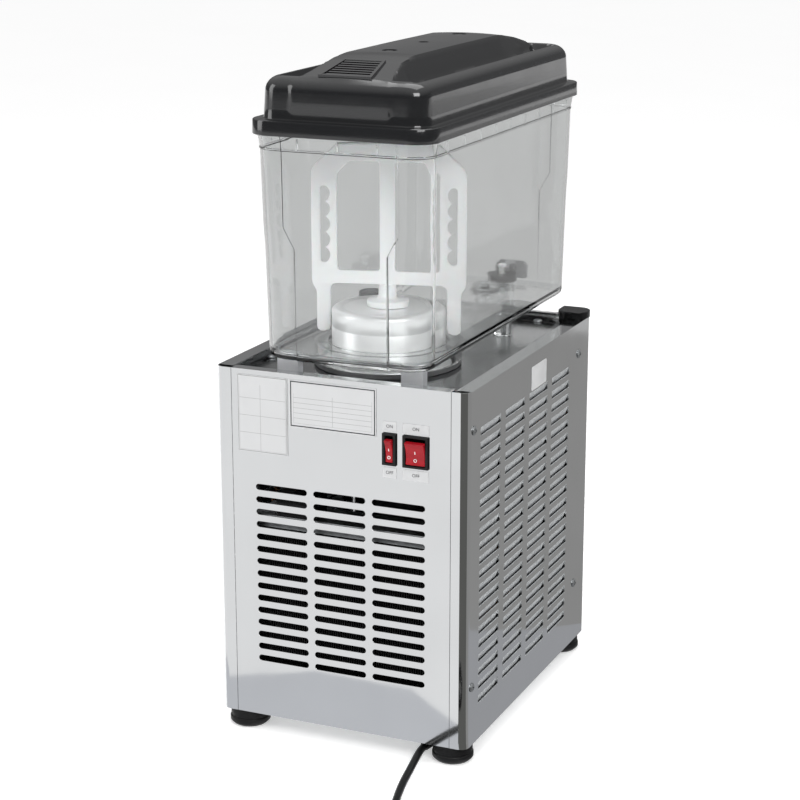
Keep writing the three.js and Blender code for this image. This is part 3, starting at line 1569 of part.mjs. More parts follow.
// Drip tray on its shelf, with a grid let into its top
const trayLow = tray.low;
const trayTop = tray.low + tray.height;
const trayHalfDepth = tray.reach / 2;
const trayMiddle = frontFace - tray.gap - trayHalfDepth;
const trayRing = (inset, z) => roundedRing(
  tray.halfWidth - inset,
  trayHalfDepth - inset,
  tray.corner - inset,
  z,
  trayMiddle,
);
addPiece('drip_tray', cut(
  loft([trayRing(tray.wall, trayLow), trayRing(0, trayLow + tray.wall), trayRing(0, trayTop)]),
  loft([trayLow + tray.wall, trayTop + overrun].map((z) => trayRing(tray.wall + grid.ledge, z))),
  loft([trayRing(tray.wall, trayTop - grid.seat), trayRing(tray.wall, trayTop + overrun)]),
), blackPlastic);

function dripGrid() {
  const low = trayTop - grid.seat + clearance;
  const plate = loft([low, low + grid.thickness].map((z) => trayRing(tray.wall + clearance, z)));
  const halfX = tray.halfWidth - tray.wall - grid.border;
  const halfY = trayHalfDepth - tray.wall - grid.border;
  const pitch = 2 * halfX / grid.slots;
  const slots = Array.from({ length: grid.slots }, (_, k) => {
    const x = -halfX + (k + 0.5) * pitch;
    return block(
      [x - grid.slotWidth / 2, x + grid.slotWidth / 2],
      [trayMiddle - halfY, trayMiddle + halfY],
      [low - overrun, low + grid.thickness + overrun],
    );
  });
  return cut(plate, ...slots);
}

addPiece('drip_grid', dripGrid(), polished);

const shelfTop = trayLow - clearance;
addPiece('tray_shelf', join(
  block(
    [-trayShelf.halfWidth, trayShelf.halfWidth],
    [frontFace - clearance - trayShelf.depth, frontFace - clearance],
    [shelfTop - trayShelf.thickness, shelfTop],
  ),
  block(
    [-trayShelf.halfWidth, trayShelf.halfWidth],
    [frontFace - clearance - sheet, frontFace - clearance],
    [shelfTop - trayShelf.thickness, shelfTop + trayShelf.lip],
  ),
), polished);

// Cooling unit: finned condenser, shroud, fan and motor, compressor on rubber mounts, drier and pipes
const condenserLow = panTop + clearance;
const condenserHigh = up(condenser.high);
const condenserRear = fromRear(condenser.fromRear);
const condenserFront = condenserRear - condenser.depth;
function condenserBlock() {
  const pitch = (2 * condenserHalf - condenser.finThickness) / (condenser.fins - 1);
  const core = condenserFront + condenser.core;
  const points = [[condenserHalf, condenserFront]];
  for (let k = 0; k < condenser.fins; k++) {
    const x = condenserHalf - k * pitch;
    if (k > 0) points.push([x, core]);
    points.push([x, condenserRear], [x - condenser.finThickness, condenserRear]);
    if (k < condenser.fins - 1) points.push([x - condenser.finThickness, core]);
  }
  points.push([-condenserHalf, condenserFront]);
  return raised(outline(points), condenserLow, condenserHigh);
}

addPiece('condenser', condenserBlock(), paintedBlack);

const fanZ = (condenserLow + condenserHigh) / 2;
const fanRadius = condenserHalf * fan.radiusShare;
const strapHalf = condenserHalf * strap.widthShare;
const shroudRear = condenserFront - shroud.gap;
const shroudTop = up(shroud.high);
function fanShroud() {
  const plate = block(
    [-condenserHalf, condenserHalf],
    [shroudRear - shroud.thickness, shroudRear],
    [panTop + clearance, shroudTop],
  );
  const top = block(
    [-condenserHalf, condenserHalf],
    [shroudRear - shroud.thickness / 2, condenserRear],
    [shroudTop - shroud.thickness, shroudTop],
  );
  const lip = block(
    [-condenserHalf, condenserHalf],
    [condenserRear - shroud.thickness, condenserRear],
    [shroudTop - shroud.lip, shroudTop - shroud.thickness / 2],
  );
  const opening = rodAlongY(
    condenserHalf * shroud.openingShare,
    shroudRear - shroud.thickness - overrun,
    shroudRear + overrun,
    28,
    0,
    fanZ,
  );
  return cut(join(plate, top, lip), opening);
}

addPiece('fan_shroud', fanShroud(), galvanised);

const fanRear = shroudRear - shroud.thickness - fan.gap;
const fanFront = fanRear - fan.hubDepth;
function fanWheel() {
  const hub = rodAlongY(fan.hubRadius, fanFront, fanRear, 16, 0, fanZ);
  const shaft = rodAlongY(
    fanMotor.shaftRadius,
    fanFront - fanMotor.gap - fanMotor.shaftLength,
    fanFront + overrun,
    12,
    0,
    fanZ,
  );
  const middle = (fanFront + fanRear) / 2;
  const start = fan.hubRadius - overrun;
  const blades = Array.from({ length: fan.blades }, (_, k) => {
    const blade = block(
      [start, fanRadius],
      [-fan.bladeThickness / 2, fan.bladeThickness / 2],
      [-fan.bladeWidth / 2, fan.bladeWidth / 2],
    );
    const at = blade.getAttribute('position');
    for (let i = 0; i < at.count; i++) {
      if (at.getX(i) < (start + fanRadius) / 2) at.setZ(i, at.getZ(i) * fan.hubRadius / fan.bladeWidth);
    }
    return blade.rotateX(fan.pitch * degrees).rotateY(k / fan.blades * turn).translate(0, middle, fanZ);
  });
  return join(hub, shaft, ...blades);
}

addPiece('fan', fanWheel(), galvanised);

const motorRear = fanFront - fanMotor.gap;
function fanMotorBody() {
  const can = rodAlongY(fanMotor.radius, motorRear - fanMotor.depth, motorRear, 20, 0, fanZ);
  const strapY = motorRear - fanMotor.depth + strap.thickness;
  const arms = block(
    [-strapHalf, strapHalf],
    [strapY, strapY + strap.thickness],
    [fanZ - strap.height / 2, fanZ + strap.height / 2],
  );
  const legs = [-1, 1].map((side) => block(
    [side * (strapHalf - strap.thickness), side * strapHalf],
    [strapY, shroudRear - shroud.thickness - clearance],
    [fanZ - strap.height / 2, fanZ + strap.height / 2],
  ));
  const bore = rodAlongY(
    fanMotor.shaftRadius + running,
    motorRear - fanMotor.boreDepth,
    motorRear + overrun,
    12,
    0,
    fanZ,
  );
  return cut(join(can, arms, ...legs), bore);
}

addPiece('fan_motor', fanMotorBody(), paintedBlack);

const compressorY = frontFace + compressor.fromFront;
const plateLow = panTop + clearance + compressor.mountHeight;
const plateTop = plateLow + compressor.plateThickness;
const shellTop = plateTop + compressor.height;
function compressorBody() {
  const plate = block(
    [compressor.side - compressor.plateLength / 2, compressor.side + compressor.plateLength / 2],
    [compressorY - compressor.plateWidth / 2, compressorY + compressor.plateWidth / 2],
    [plateLow, plateTop],
  );
  const steps = 4;
  const curve = Array.from({ length: steps + 1 }, (_, k) => {
    const angle = k / steps * turn / 4;
    const flat = compressor.radius - compressor.round;
    return [flat + compressor.round * Math.cos(angle), shellTop - compressor.round * (1 - Math.sin(angle))];
  });
  const shell = turned([
    [0, plateTop - clearance],
    [compressor.radius, plateTop - clearance],
    ...curve,
    [0, shellTop],
  ], 20, compressor.side, compressorY);
  const mounts = [[1, 1], [-1, 1], [1, -1], [-1, -1]].map(([alongX, alongY]) => rod(
    compressor.mountRadius,
    panTop + clearance,
    plateLow + clearance,
    10,
    compressor.side + alongX * (compressor.plateLength / 2 - compressor.mountInset),
    compressorY + alongY * (compressor.plateWidth / 2 - compressor.mountInset),
  ));
  return join(plate, shell, ...mounts);
}

addPiece('compressor', compressorBody(), paintedBlack);

const drierLow = up(drier.low);
const drierTop = drierLow + drier.canHeight;
const drierBody = turned([
  [0, drierLow],
  [drier.neck, drierLow],
  [drier.radius, drierLow + drier.taper],
  [drier.radius, drierTop - drier.taper],
  [drier.neck, drierTop],
  [0, drierTop],
], 12, drierX, fromRear(drier.fromRear));

// Pipes, each a smooth line that ends square and just short of what it joins
const lineZ = plateTop + compressor.lineHeight;
const pipeGap = pipe.radius + clearance;
const coilJoin = coilLow - clearance;
const besideCondenser = condenserHalf + pipe.radius + clearance;
const pipeY = (condenserRear + condenserFront) / 2;
const pipes = {
  discharge_pipe: [
    [-condenserHalf - clearance, pipeY, fanZ],
    [-besideCondenser - pipeGap, pipeY, fanZ],
    [-besideCondenser - 2 * pipeGap, pipeY - 2 * pipeGap, fanZ],
    [-besideCondenser - 2 * pipeGap, compressorY + 2 * pipeGap, lineZ],
    [-besideCondenser, compressorY, lineZ],
    [compressor.side - compressor.radius - pipeGap * 2, compressorY, lineZ],
    [compressor.side - compressor.radius - clearance, compressorY, lineZ],
  ],
  suction_pipe: [
    [pipeSpot(-1)[0], drumY, coilJoin],
    [pipeSpot(-1)[0], drumY, deckTop - 4 * pipeGap],
    [pipeSpot(-1)[0], drumY - 4 * pipeGap, shellTop + 12 * pipeGap],
    [compressor.side - compressor.radius / 3, compressorY, shellTop + 6 * pipeGap],
    [compressor.side - compressor.radius / 3, compressorY, shellTop + 3 * pipeGap],
    [compressor.side - compressor.radius / 3, compressorY, shellTop + clearance],
  ],
  liquid_pipe: [
    [pipeSpot(1)[0], drumY, coilJoin],
    [pipeSpot(1)[0], drumY, deckTop - 4 * pipeGap],
    [drierX - pipeGap, fromRear(drier.fromRear) - pipeGap, drierTop + 12 * pipeGap],
    [drierX, fromRear(drier.fromRear), drierTop + 4 * pipeGap],
    [drierX, fromRear(drier.fromRear), drierTop - pipeGap],
  ],
};
for (const [name, points] of Object.entries(pipes)) {
  const line = pipeAlong(points, pipe.radius, pipe.sides, pipe.steps);
  addPiece(name, name === 'liquid_pipe' ? join(line, drierBody) : line, copper);
}

const thermostatX = condenserHalf - thermostat.sideInset;
addPiece('thermostat', block(
  [thermostatX - thermostat.width / 2, thermostatX + thermostat.width / 2],
  [condenserRear - thermostat.depth, condenserRear],
  [shroudTop + clearance, shroudTop + clearance + thermostat.height],
), blackPlastic);

// Mains lead: strain relief under the base, free stretch, coil and plug
const cordRadius = cord.diameter / 2;
const [exitX, exitY, exitZ] = cordPoints[0];
const reliefEnd = exitY - clearance;
addPiece('cord_relief', join(
  turned([
    [0, reliefEnd - relief.reach],
    [relief.radius, reliefEnd - relief.reach],
    [relief.radius, reliefEnd - relief.reach + relief.baseLength],
    [relief.endRadius, reliefEnd],
    [0, reliefEnd],
  ], 12).rotateX(-Math.PI / 2).translate(exitX, 0, exitZ),
  block(
    [exitX - relief.width / 2, exitX + relief.width / 2],
    [reliefEnd - relief.reach, reliefEnd - relief.reach + relief.baseLength],
    [exitZ, floorLine - clearance],
  ),
), blackPlastic);
addPiece('cord_run', pipeAlong(cordPoints, cordRadius, cord.sides, cord.steps), blackRubber);

// The coil lies on its tie: it spirals inwards, climbs at the middle and spirals out above itself
const coilStart = cord.startAngle * degrees;
const heading = new THREE.Vector3(-Math.sin(coilStart), Math.cos(coilStart), 0);
const outwards = new THREE.Vector3(Math.cos(coilStart), Math.sin(coilStart), 0);
const coilRadius = cord.meanRadius + cord.turnsEachLayer / 2 * cord.pitch;
const coilEntry = new THREE.Vector3(...cordPoints[cordPoints.length - 1])
  .addScaledVector(heading, clearance + cord.startTail);
const coilCentre = coilEntry.clone().addScaledVector(outwards, -coilRadius);
const coilTurns = 2 * cord.turnsEachLayer;

function coilPoint(turns) {
  const fromEnd = Math.min(turns, coilTurns - turns);
  const radius = coilRadius - cord.pitch * fromEnd;
  const climb = THREE.MathUtils.smoothstep(
    turns,
    cord.turnsEachLayer - cord.climbTurns / 2,
    cord.turnsEachLayer + cord.climbTurns / 2,
  );
  const angle = coilStart + turns * turn;
  return new THREE.Vector3(
    coilCentre.x + radius * Math.cos(angle),
    coilCentre.y + radius * Math.sin(angle),
    coilEntry.z + climb * cord.pitch,
  );
}

class PolylineCurve extends THREE.Curve {
  constructor(points) {
    super();
    this.points = points;
  }

  getPoint(t, target = new THREE.Vector3()) {
    const place = t * (this.points.length - 1);
    const k = Math.min(Math.floor(place), this.points.length - 2);
    return target.copy(this.points[k]).lerp(this.points[k + 1], place - k);
  }

  getPointAt(t, target) {
    return this.getPoint(t, target);
  }

  getTangentAt(t, target = new THREE.Vector3()) {
    const last = this.points.length - 1;
    const k = Math.round(t * last);
    const [before, after] = [Math.max(k - 1, 0), Math.min(k + 1, last)];
    return target.copy(this.points[after]).sub(this.points[before]).normalize();
  }
}

const coilLine = [
  coilEntry.clone().addScaledVector(heading, -cord.startTail),
  ...Array.from({ length: coilTurns * cord.coilSteps + 1 }, (_, k) => coilPoint(k / cord.coilSteps)),
];
const coilEnd = coilLine[coilLine.length - 1].clone().addScaledVector(heading, cord.endTail);
coilLine.push(coilEnd);

// Rings square to the line, with the first side of each towards the floor
function coilTube(points, radius, sides) {
  const curve = new PolylineCurve(points);
  const upward = new THREE.Vector3(0, 0, 1);
  const rings = points.map((point, k) => {
    const along = curve.getTangentAt(k / (points.length - 1));
    const across = along.clone().cross(upward).normalize();
    const over = across.clone().cross(along);
    return Array.from({ length: sides }, (_, side) => {
      const angle = (side + 0.5) / sides * turn;
      return point.clone()
        .addScaledVector(across, radius * Math.cos(angle))
        .addScaledVector(over, radius * Math.sin(angle))
        .toArray();
    });
  });
  return loft(rings);
}

addPiece('cord_coil', coilTube(coilLine, cordRadius, cord.coilSides), blackRubber);

function leastCoilGap() {
  let least = Infinity;
  const apart = cord.coilSteps / 2;
  for (let i = 0; i < coilLine.length; i++) {
    for (let j = i + apart; j < coilLine.length; j++) {
      least = Math.min(least, coilLine[i].distanceTo(coilLine[j]) - cord.diameter);
    }
  }
  return least;
}

console.log('least gap of the coil to itself', leastCoilGap().toFixed(2));

// A band round the coil's bundle, opposite the ends
function cordTie() {
  const angle = coilStart + Math.PI;
  const towards = new THREE.Vector3(Math.cos(angle), Math.sin(angle), 0);
  const low = tie.thickness;
  const reachIn = coilRadius - cord.turnsEachLayer * cord.pitch - cordRadius - 2 * clearance;
  const reachOut = coilRadius + cordRadius + 2 * clearance;
  const top = coilEntry.z + cord.pitch + cordRadius + 2 * clearance;
  const band = (x0, x1, z0, z1) => block([x0, x1], [-tie.width / 2, tie.width / 2], [z0, z1]);
  const inner = block([reachIn, reachOut], [-tie.width, tie.width], [low, top]);
  const outer = band(reachIn - tie.thickness, reachOut + tie.thickness, 0, top + tie.thickness);
  return cut(outer, inner).rotateZ(angle).translate(coilCentre.x, coilCentre.y, 0);
}

addPiece('cord_tie', cordTie(), blackRubber);

function powerPlug() {
  const ring = (halfX, halfZ, corner, y) => roundedRing(halfX, halfZ, corner, y, 0, 3);
  const start = clearance;
  const neckEnd = start + plug.neckLength;
  const bodyEnd = neckEnd + plug.bodyLength;
  const body = loft([
    ring(plug.neckEnd, plug.neckEnd, plug.neckEnd * plug.roundShare, start),
    ring(plug.neckRadius, plug.neckRadius, plug.neckRadius * plug.roundShare, neckEnd),
    ring(plug.halfWidth, plug.halfHeight, plug.corner, neckEnd + plug.bodyLength / 4),
    ring(plug.halfWidth, plug.halfHeight, plug.corner, bodyEnd),
  ]);
  const pins = [-1, 1].map((side) => rod(
    plug.pinRadius,
    bodyEnd - overrun,
    bodyEnd + plug.pinLength,
    8,
    side * plug.pinSpacing / 2,
    0,
  ));
  const whole = join(body, ...pins).rotateX(-Math.PI / 2);
  return whole.rotateZ(coilStart).translate(coilEnd.x, coilEnd.y, coilEnd.z);
}

addPiece('power_plug', powerPlug(), blackRubber);

export default part;
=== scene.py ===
from math import cos, pi, radians, sin

import bmesh
import bpy
import numpy as np
from bpy.props import FloatProperty, FloatVectorProperty, IntProperty, PointerProperty
from mathutils import Matrix, Vector


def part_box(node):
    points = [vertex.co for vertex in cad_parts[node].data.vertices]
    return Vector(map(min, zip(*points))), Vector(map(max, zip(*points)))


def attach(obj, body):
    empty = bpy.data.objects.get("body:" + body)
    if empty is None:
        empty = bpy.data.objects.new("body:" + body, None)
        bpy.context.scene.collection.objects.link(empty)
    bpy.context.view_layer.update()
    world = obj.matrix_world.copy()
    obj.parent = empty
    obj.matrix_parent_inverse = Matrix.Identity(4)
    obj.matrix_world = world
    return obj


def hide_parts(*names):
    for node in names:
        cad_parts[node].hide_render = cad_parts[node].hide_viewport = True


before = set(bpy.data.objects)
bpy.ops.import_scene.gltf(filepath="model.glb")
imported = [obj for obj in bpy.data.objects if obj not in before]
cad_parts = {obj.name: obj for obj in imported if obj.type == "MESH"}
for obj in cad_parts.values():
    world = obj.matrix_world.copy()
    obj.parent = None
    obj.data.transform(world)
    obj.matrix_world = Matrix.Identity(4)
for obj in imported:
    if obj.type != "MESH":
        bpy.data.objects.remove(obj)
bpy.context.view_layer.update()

bl_info = {
    "name": "Cold drink dispenser",
    "version": (1, 0, 0),
    "blender": (4, 5, 0),
    "location": "3D View > Sidebar > Dispenser",
    "description": "Builds the visible pieces of a single-bowl cold drink dispenser on its CAD frame",
    "category": "Add Mesh",
}


# Sizes read from the frame

def low(node):
    """Lowest corner of a CAD node, as an array."""
    return np.array(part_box(node)[0])


def high(node):
    """Highest corner of a CAD node, as an array."""
    return np.array(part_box(node)[1])


def middle(node):
    """Middle of a CAD node's box, as an array."""
    return (low(node) + high(node)) / 2


CLEARANCE = 0.0003
SHEET = 0.0012
PIN_HEIGHT = 0.010
RIM_HEIGHT = 0.019
SHELL_HEIGHT = 0.039

REAR = float(high("rear_panel")[1])
FRONT = float(low("front_panel")[1])
SIDE = float(high("side_panel_left")[0])
CABINET_LOW = float(low("side_panel_left")[2])
CABINET_TOP = float(high("side_panel_left")[2])
DECK_TOP = float(low("evaporator_drum")[2]) - CLEARANCE
DRUM_Y = float(middle("evaporator_drum")[1])
DRUM_TOP = float(high("evaporator_drum")[2]) - PIN_HEIGHT
BOWL_LOW = float(high("tap_washer")[2]) + CLEARANCE
BOWL_TOP = float(high("bowl")[2])
LID_LOW = float(low("lid")[2])
LID_REAR = float(high("lid")[1])
LID_FRONT = float(low("lid")[1])
MIDDLE_Y = (LID_REAR + LID_FRONT) / 2


def length(default, name, text):
    """A size in metres, with the fields that the sidebar shows."""
    return FloatProperty(name=name, description=text, default=default, min=0, unit="LENGTH", precision=4)


def colour(default, name, text):
    """A colour, with the fields that the sidebar shows."""
    return FloatVectorProperty(name=name, description=text, default=default, min=0, max=1, size=3,
                               subtype="COLOR")


class DispenserBowl(bpy.types.PropertyGroup):
    wall: length(0.003, "Wall", "Thickness of the bowl's walls")
    floor: length(0.004, "Floor", "Thickness of the bowl's floor")
    half_width: length(0.0875, "Half width", "Half the bowl's width under its rim")
    half_length: length(0.2019, "Half length", "Half the bowl's length under its rim")
    side_draft: length(0.0035, "Side draft", "How much narrower each side is at the floor")
    end_draft: length(0.005, "End draft", "How much shorter each end is at the floor")
    top_corner: length(0.022, "Upper corner", "Radius of the upright corners, high up")
    low_corner: length(0.024, "Lower corner", "Radius of the upright corners, low down")
    jog: length(0.1075, "Jog height", "Height at which the corners change their radius")
    panel_high: length(0.058, "Panel, high", "Half width of the raised panel in each end wall, high up")
    panel_low: length(0.047, "Panel, low", "Half width of the raised panel in each end wall, low down")
    rim_flare: length(0.0023, "Rim flare", "How far the rim stands out")
    opening: length(0.058, "Opening", "Radius of the hole that the drum stands in")


class DispenserLid(bpy.types.PropertyGroup):
    skirt: length(0.014, "Skirt", "Height of the lid's skirt")
    half_width: length(0.0926, "Half width", "Half the width of the lid over its skirt")
    shoulder: length(0.0093, "Shoulder", "Step from the skirt in to the shell")
    corner: length(0.022, "Corner", "Radius of the lid's corners, seen from above")
    edge: length(0.014, "Edge", "Radius along the lid's upper edge")
    hump: length(0.016, "Hump", "Rise of the hump above the ledge")
    valley: length(0.0095, "Valley", "Depth of the two valleys beside the hump")
    wall: length(0.0024, "Wall", "Thickness of the lid")
    slats: IntProperty(name="Slats", description="Slats in the vent grille", default=7, min=2, max=20)


class DispenserPaddle(bpy.types.PropertyGroup):
    thickness: length(0.004, "Thickness", "Thickness of the stirring paddle")
    turn: FloatProperty(name="Turn", description="How far the paddle stands turned", default=radians(15),
                        subtype="ANGLE")
    outer: length(0.074, "Reach", "From the axis to the paddle's side")
    waves: IntProperty(name="Waves", description="Scallops along each slot", default=5, min=1, max=12)


class DispenserCord(bpy.types.PropertyGroup):
    diameter: length(0.0073, "Diameter", "Diameter of the mains lead")
    pitch: length(0.0084, "Pitch", "Space from one turn of the coil to the next")
    mean_radius: length(0.040, "Coil radius", "Radius of the coil at the middle of its turns")
    turns: FloatProperty(name="Turns", description="Turns in each layer of the coil", default=2.5, min=1,
                         max=8)


class DispenserFinish(bpy.types.PropertyGroup):
    steel: colour((0.70, 0.71, 0.715), "Steel", "Polished stainless sheet")
    deck: colour((0.42, 0.425, 0.43), "Deck", "Dulled stainless sheet of the deck")
    drum: colour((0.96, 0.96, 0.96), "Drum", "Satin steel of the cooling drum")
    louvre: colour((0.55, 0.57, 0.58), "Louvres", "Pressed steel of the louvre flaps")
    handle: colour((0.26, 0.26, 0.265), "Handle", "Dark grey plastic of the tap's handle")
    frosted: colour((0.78, 0.79, 0.81), "Frosted", "Milky ends of the bowl's tabs")
    seal: colour((0.13, 0.132, 0.135), "Seal", "Ring under the bowl")
    galvanised: colour((0.50, 0.52, 0.53), "Zinc", "Galvanised sheet")
    black_plastic: colour((0.005, 0.005, 0.0055), "Black plastic", "Moulded black plastic")
    lid: colour((0.005, 0.0055, 0.0065), "Lid", "Charcoal plastic of the lid")
    bowl: colour((0.95, 0.965, 0.965), "Bowl", "Clear plastic of the bowl")
    white_plastic: colour((0.92, 0.925, 0.93), "White plastic", "Paddle and hub")
    rubber: colour((0.005, 0.005, 0.0055), "Rubber", "Feet, lead and tie")
    red: colour((0.38, 0.008, 0.016), "Red", "Switch keys")
    painted: colour((0.014, 0.014, 0.015), "Paint", "Black paint on the cooling unit")
    copper: colour((0.72, 0.34, 0.18), "Copper", "Pipes")
    label: colour((0.58, 0.585, 0.59), "Label", "Printed film")


class DispenserStage(bpy.types.PropertyGroup):
    lens: FloatProperty(name="Lens", description="Focal length in millimetres", default=94.84, min=10,
                        max=400)
    azimuth: FloatProperty(name="Azimuth", description="Camera's direction", default=radians(203.6),
                           subtype="ANGLE")
    elevation: FloatProperty(name="Elevation", description="Camera's height", default=radians(15.32),
                             subtype="ANGLE")
    floor: colour((0.86, 0.86, 0.86), "Floor", "The plain pale floor")


# Surfaces on a grid

def grid_quads(rows, columns, wrap=False, close=False):
    """Quads between the points of a grid, row by row; wrap
    joins the last column to the first, close the last row."""
    i, j = np.meshgrid(np.arange(rows if close else rows - 1), np.arange(columns if wrap else columns - 1),
                       indexing="ij")
    up, along = (i + 1) % rows, (j + 1) % columns
    return np.stack([i * columns + j, i * columns + along, up * columns + along, up * columns + j],
                    -1).reshape(-1, 4)


def loft(rings, close=False):
    """Skin over rings of equal count, from low to high, with a flat cap at each end, or closed on itself."""
    rings = np.asarray(rings, float)
    rows, columns = rings.shape[:2]
    faces = grid_quads(rows, columns, wrap=True, close=close).tolist()
    if not close:
        faces += [list(range(columns))[::-1], list(range((rows - 1) * columns, rows * columns))]
    return rings.reshape(-1, 3), faces


def lathe(profile, steps=64, centre=(0, 0)):
    """A profile of (radius, height) points turned about an upright axis; ends on the axis close to a pole."""
    profile = np.asarray(profile, float)
    angle = np.arange(steps) / steps * 2 * pi
    x = centre[0] + profile[:, :1] * np.cos(angle)
    y = centre[1] + profile[:, :1] * np.sin(angle)
    z = np.broadcast_to(profile[:, 1:], x.shape)
    return np.stack([x, y, z], -1).reshape(-1, 3), grid_quads(len(profile), steps, wrap=True).tolist()


def ring_lathe(profile, steps=64, centre=(0, 0)):
    """A closed profile of (radius, height) points turned about an upright axis, as a ring without poles."""
    points, _ = lathe(profile, steps, centre)
    return points, grid_quads(len(profile), steps, wrap=True, close=True).tolist()


def arc(centre, radius, start, end, steps):
    """Points of a circular arc in the plane of a profile, from one angle in degrees to another."""
    angle = np.radians(np.linspace(start, end, steps + 1))
    return np.stack([centre[0] + radius * np.cos(angle), centre[1] + radius * np.sin(angle)], -1)


def rounded_ring(half_x, half_y, radius, z, middle_y=0.0, corner_steps=8, runs=(2, 2)):
    """Rounded rectangle at one height, anticlockwise: four
    quarter circles, and straight runs split into equal steps."""
    radius = max(radius, 1e-6)
    quarter = np.linspace(0, pi / 2, corner_steps + 1)
    signs = np.array([[1, -1], [1, 1], [-1, 1], [-1, -1]])
    starts = np.array([-pi / 2, 0, pi / 2, pi])[:, None]
    x = signs[:, :1] * (half_x - radius) + radius * np.cos(starts + quarter)
    y = signs[:, 1:] * (half_y - radius) + radius * np.sin(starts + quarter)
    corners = np.stack([x, y], -1)
    pieces = []
    for k in range(4):
        share = np.linspace(0, 1, runs[k % 2] + 1)[1:-1, None]
        pieces += [corners[k], corners[k][-1] + (corners[(k + 1) % 4][0] - corners[k][-1]) * share]
    flat = np.concatenate(pieces)
    return np.column_stack([flat[:, 0], flat[:, 1] + middle_y, np.full(len(flat), z)])


def box_part(x, y, z):
    """A plain block between two x, two y and two z, as one part of a larger piece."""
    corners = np.array([[x[0], y[0]], [x[1], y[0]], [x[1], y[1]], [x[0], y[1]]])
    return loft([np.column_stack([corners, np.full(4, level)]) for level in z])


def swept(path, radius, sides=16):
    """A round tube along a path: rings square to the path, each
    turned as little as possible from the last."""
    path = np.asarray(path, float)
    along = np.gradient(path, axis=0)
    along /= np.linalg.norm(along, axis=1, keepdims=True)
    across = np.cross(along, [0.0, 0.0, 1.0])
    weak = np.linalg.norm(across, axis=1) < 0.05
    across[weak] = np.cross(along[weak], [0.0, 1.0, 0.0])
    across /= np.linalg.norm(across, axis=1, keepdims=True)
    over = np.cross(across, along)
    angle = np.arange(sides) / sides * 2 * pi
    rings = (path[:, None] + radius
             * (across[:, None] * np.cos(angle)[:, None] + over[:, None] * np.sin(angle)[:, None]))
    return loft(rings)


def eased(x, start, end):
    """0 below start, 1 above end, and a smooth S between."""
    t = np.clip((x - start) / (end - start), 0, 1)
    return t * t * (3 - 2 * t)


def smooth_path(points, steps):
    """A smooth curve through the points: a cubic between each two, with slopes from their neighbours."""
    points = np.asarray(points, float)
    padded = np.vstack([2 * points[0] - points[1], points, 2 * points[-1] - points[-2]])
    t = np.linspace(0, len(points) - 1, steps)
    k = np.minimum(t.astype(int), len(points) - 2)
    s = (t - k)[:, None]
    a, b, c, d = (padded[k + n] for n in range(4))
    return 0.5 * (2 * b + (c - a) * s + (2 * a - 5 * b + 4 * c - d) * s ** 2
                  + (3 * b - a - 3 * c + d) * s ** 3)


def moved(place):
    """The matrix that moves a piece to a place."""
    return Matrix.Translation(place)


def turned(angle, axis):
    """The matrix that turns a piece about an axis, by an angle in radians."""
    return Matrix.Rotation(angle, 4, axis)


def placed(part, matrix):
    """A part moved by a matrix."""
    points, faces = part
    m = np.array(matrix)
    return points @ m[:3, :3].T + m[:3, 3], faces


def joined(*parts):
    """Several parts as one."""
    points, faces, start = [], [], 0
    for some_points, some_faces in parts:
        points.append(some_points)
        faces += [[v + start for v in face] for face in some_faces]
        start += len(some_points)
    return np.concatenate(points), faces


def read(items, field, size=3, kind=np.float32):
    """A field of a mesh's points, faces or corners, as an array with a row for each."""
    flat = np.empty(len(items) * size, kind)
    items.foreach_get(field, flat)
    return flat.reshape(-1, size)


def mesh_part(mesh):
    """The points and faces of a mesh, as a part."""
    starts = read(mesh.polygons, "loop_start", 1, np.int32).ravel()
    corners = read(mesh.loops, "vertex_index", 1, np.int32).ravel()
    return read(mesh.vertices, "co").astype(float), [face.tolist() for face in np.split(corners, starts[1:])]


# Objects

def linked(name, data):
    """An object with the data, put in the scene."""
    thing = bpy.data.objects.new(name, data)
    bpy.context.scene.collection.objects.link(thing)
    return thing


def smoothed(mesh, angle):
    """The mesh with smooth shading, and with edges sharper than the angle kept crisp."""
    mesh.polygons.foreach_set("use_smooth", np.ones(len(mesh.polygons), bool))
    mesh.set_sharp_from_angle(angle=radians(angle))
    return mesh


def settle(mesh, angle, turn_out=True):
    """Joins doubled points, points the faces outwards and keeps edges sharper than the angle crisp."""
    work = bmesh.new()
    work.from_mesh(mesh)
    bmesh.ops.remove_doubles(work, verts=work.verts, dist=2e-6)
    bmesh.ops.dissolve_degenerate(work, edges=work.edges, dist=1e-7)
    if turn_out:
        bmesh.ops.recalc_face_normals(work, faces=work.faces)
    work.to_mesh(mesh)
    work.free()
    return smoothed(mesh, angle)


def mesh_object(name, part, angle=35, turn_out=True):
    """An object at the origin with the part's points and faces as its mesh."""
    points, faces = part
    mesh = bpy.data.meshes.new(name)
    mesh.from_pydata(np.asarray(points).tolist(), [], faces)
    settle(mesh, angle, turn_out)
    return linked(name, mesh)


def bevelled(thing, width, segments=3, angle=35):
    """Rounds the sharp edges of a piece."""
    step = thing.modifiers.new("edges", "BEVEL")
    step.width, step.segments, step.limit_method = width, segments, "ANGLE"
    step.angle_limit, step.harden_normals, step.miter_outer = radians(angle), True, "MITER_ARC"
    step.use_clamp_overlap = True
    return thing


def weighted(thing):
    """Lets the large flat faces set the shading next to rounded edges."""
    step = thing.modifiers.new("shading", "WEIGHTED_NORMAL")
    step.keep_sharp, step.weight = True, 60
    return thing


def baked(thing, angle=35):
    """Turns a piece's modifiers into its mesh."""
    bpy.context.view_layer.update()
    graph = bpy.context.evaluated_depsgraph_get()
    mesh = bpy.data.meshes.new_from_object(thing.evaluated_get(graph))
    thing.modifiers.clear()
    thing.data = mesh
    mesh.name = thing.name
    settle(mesh, angle)
    return thing


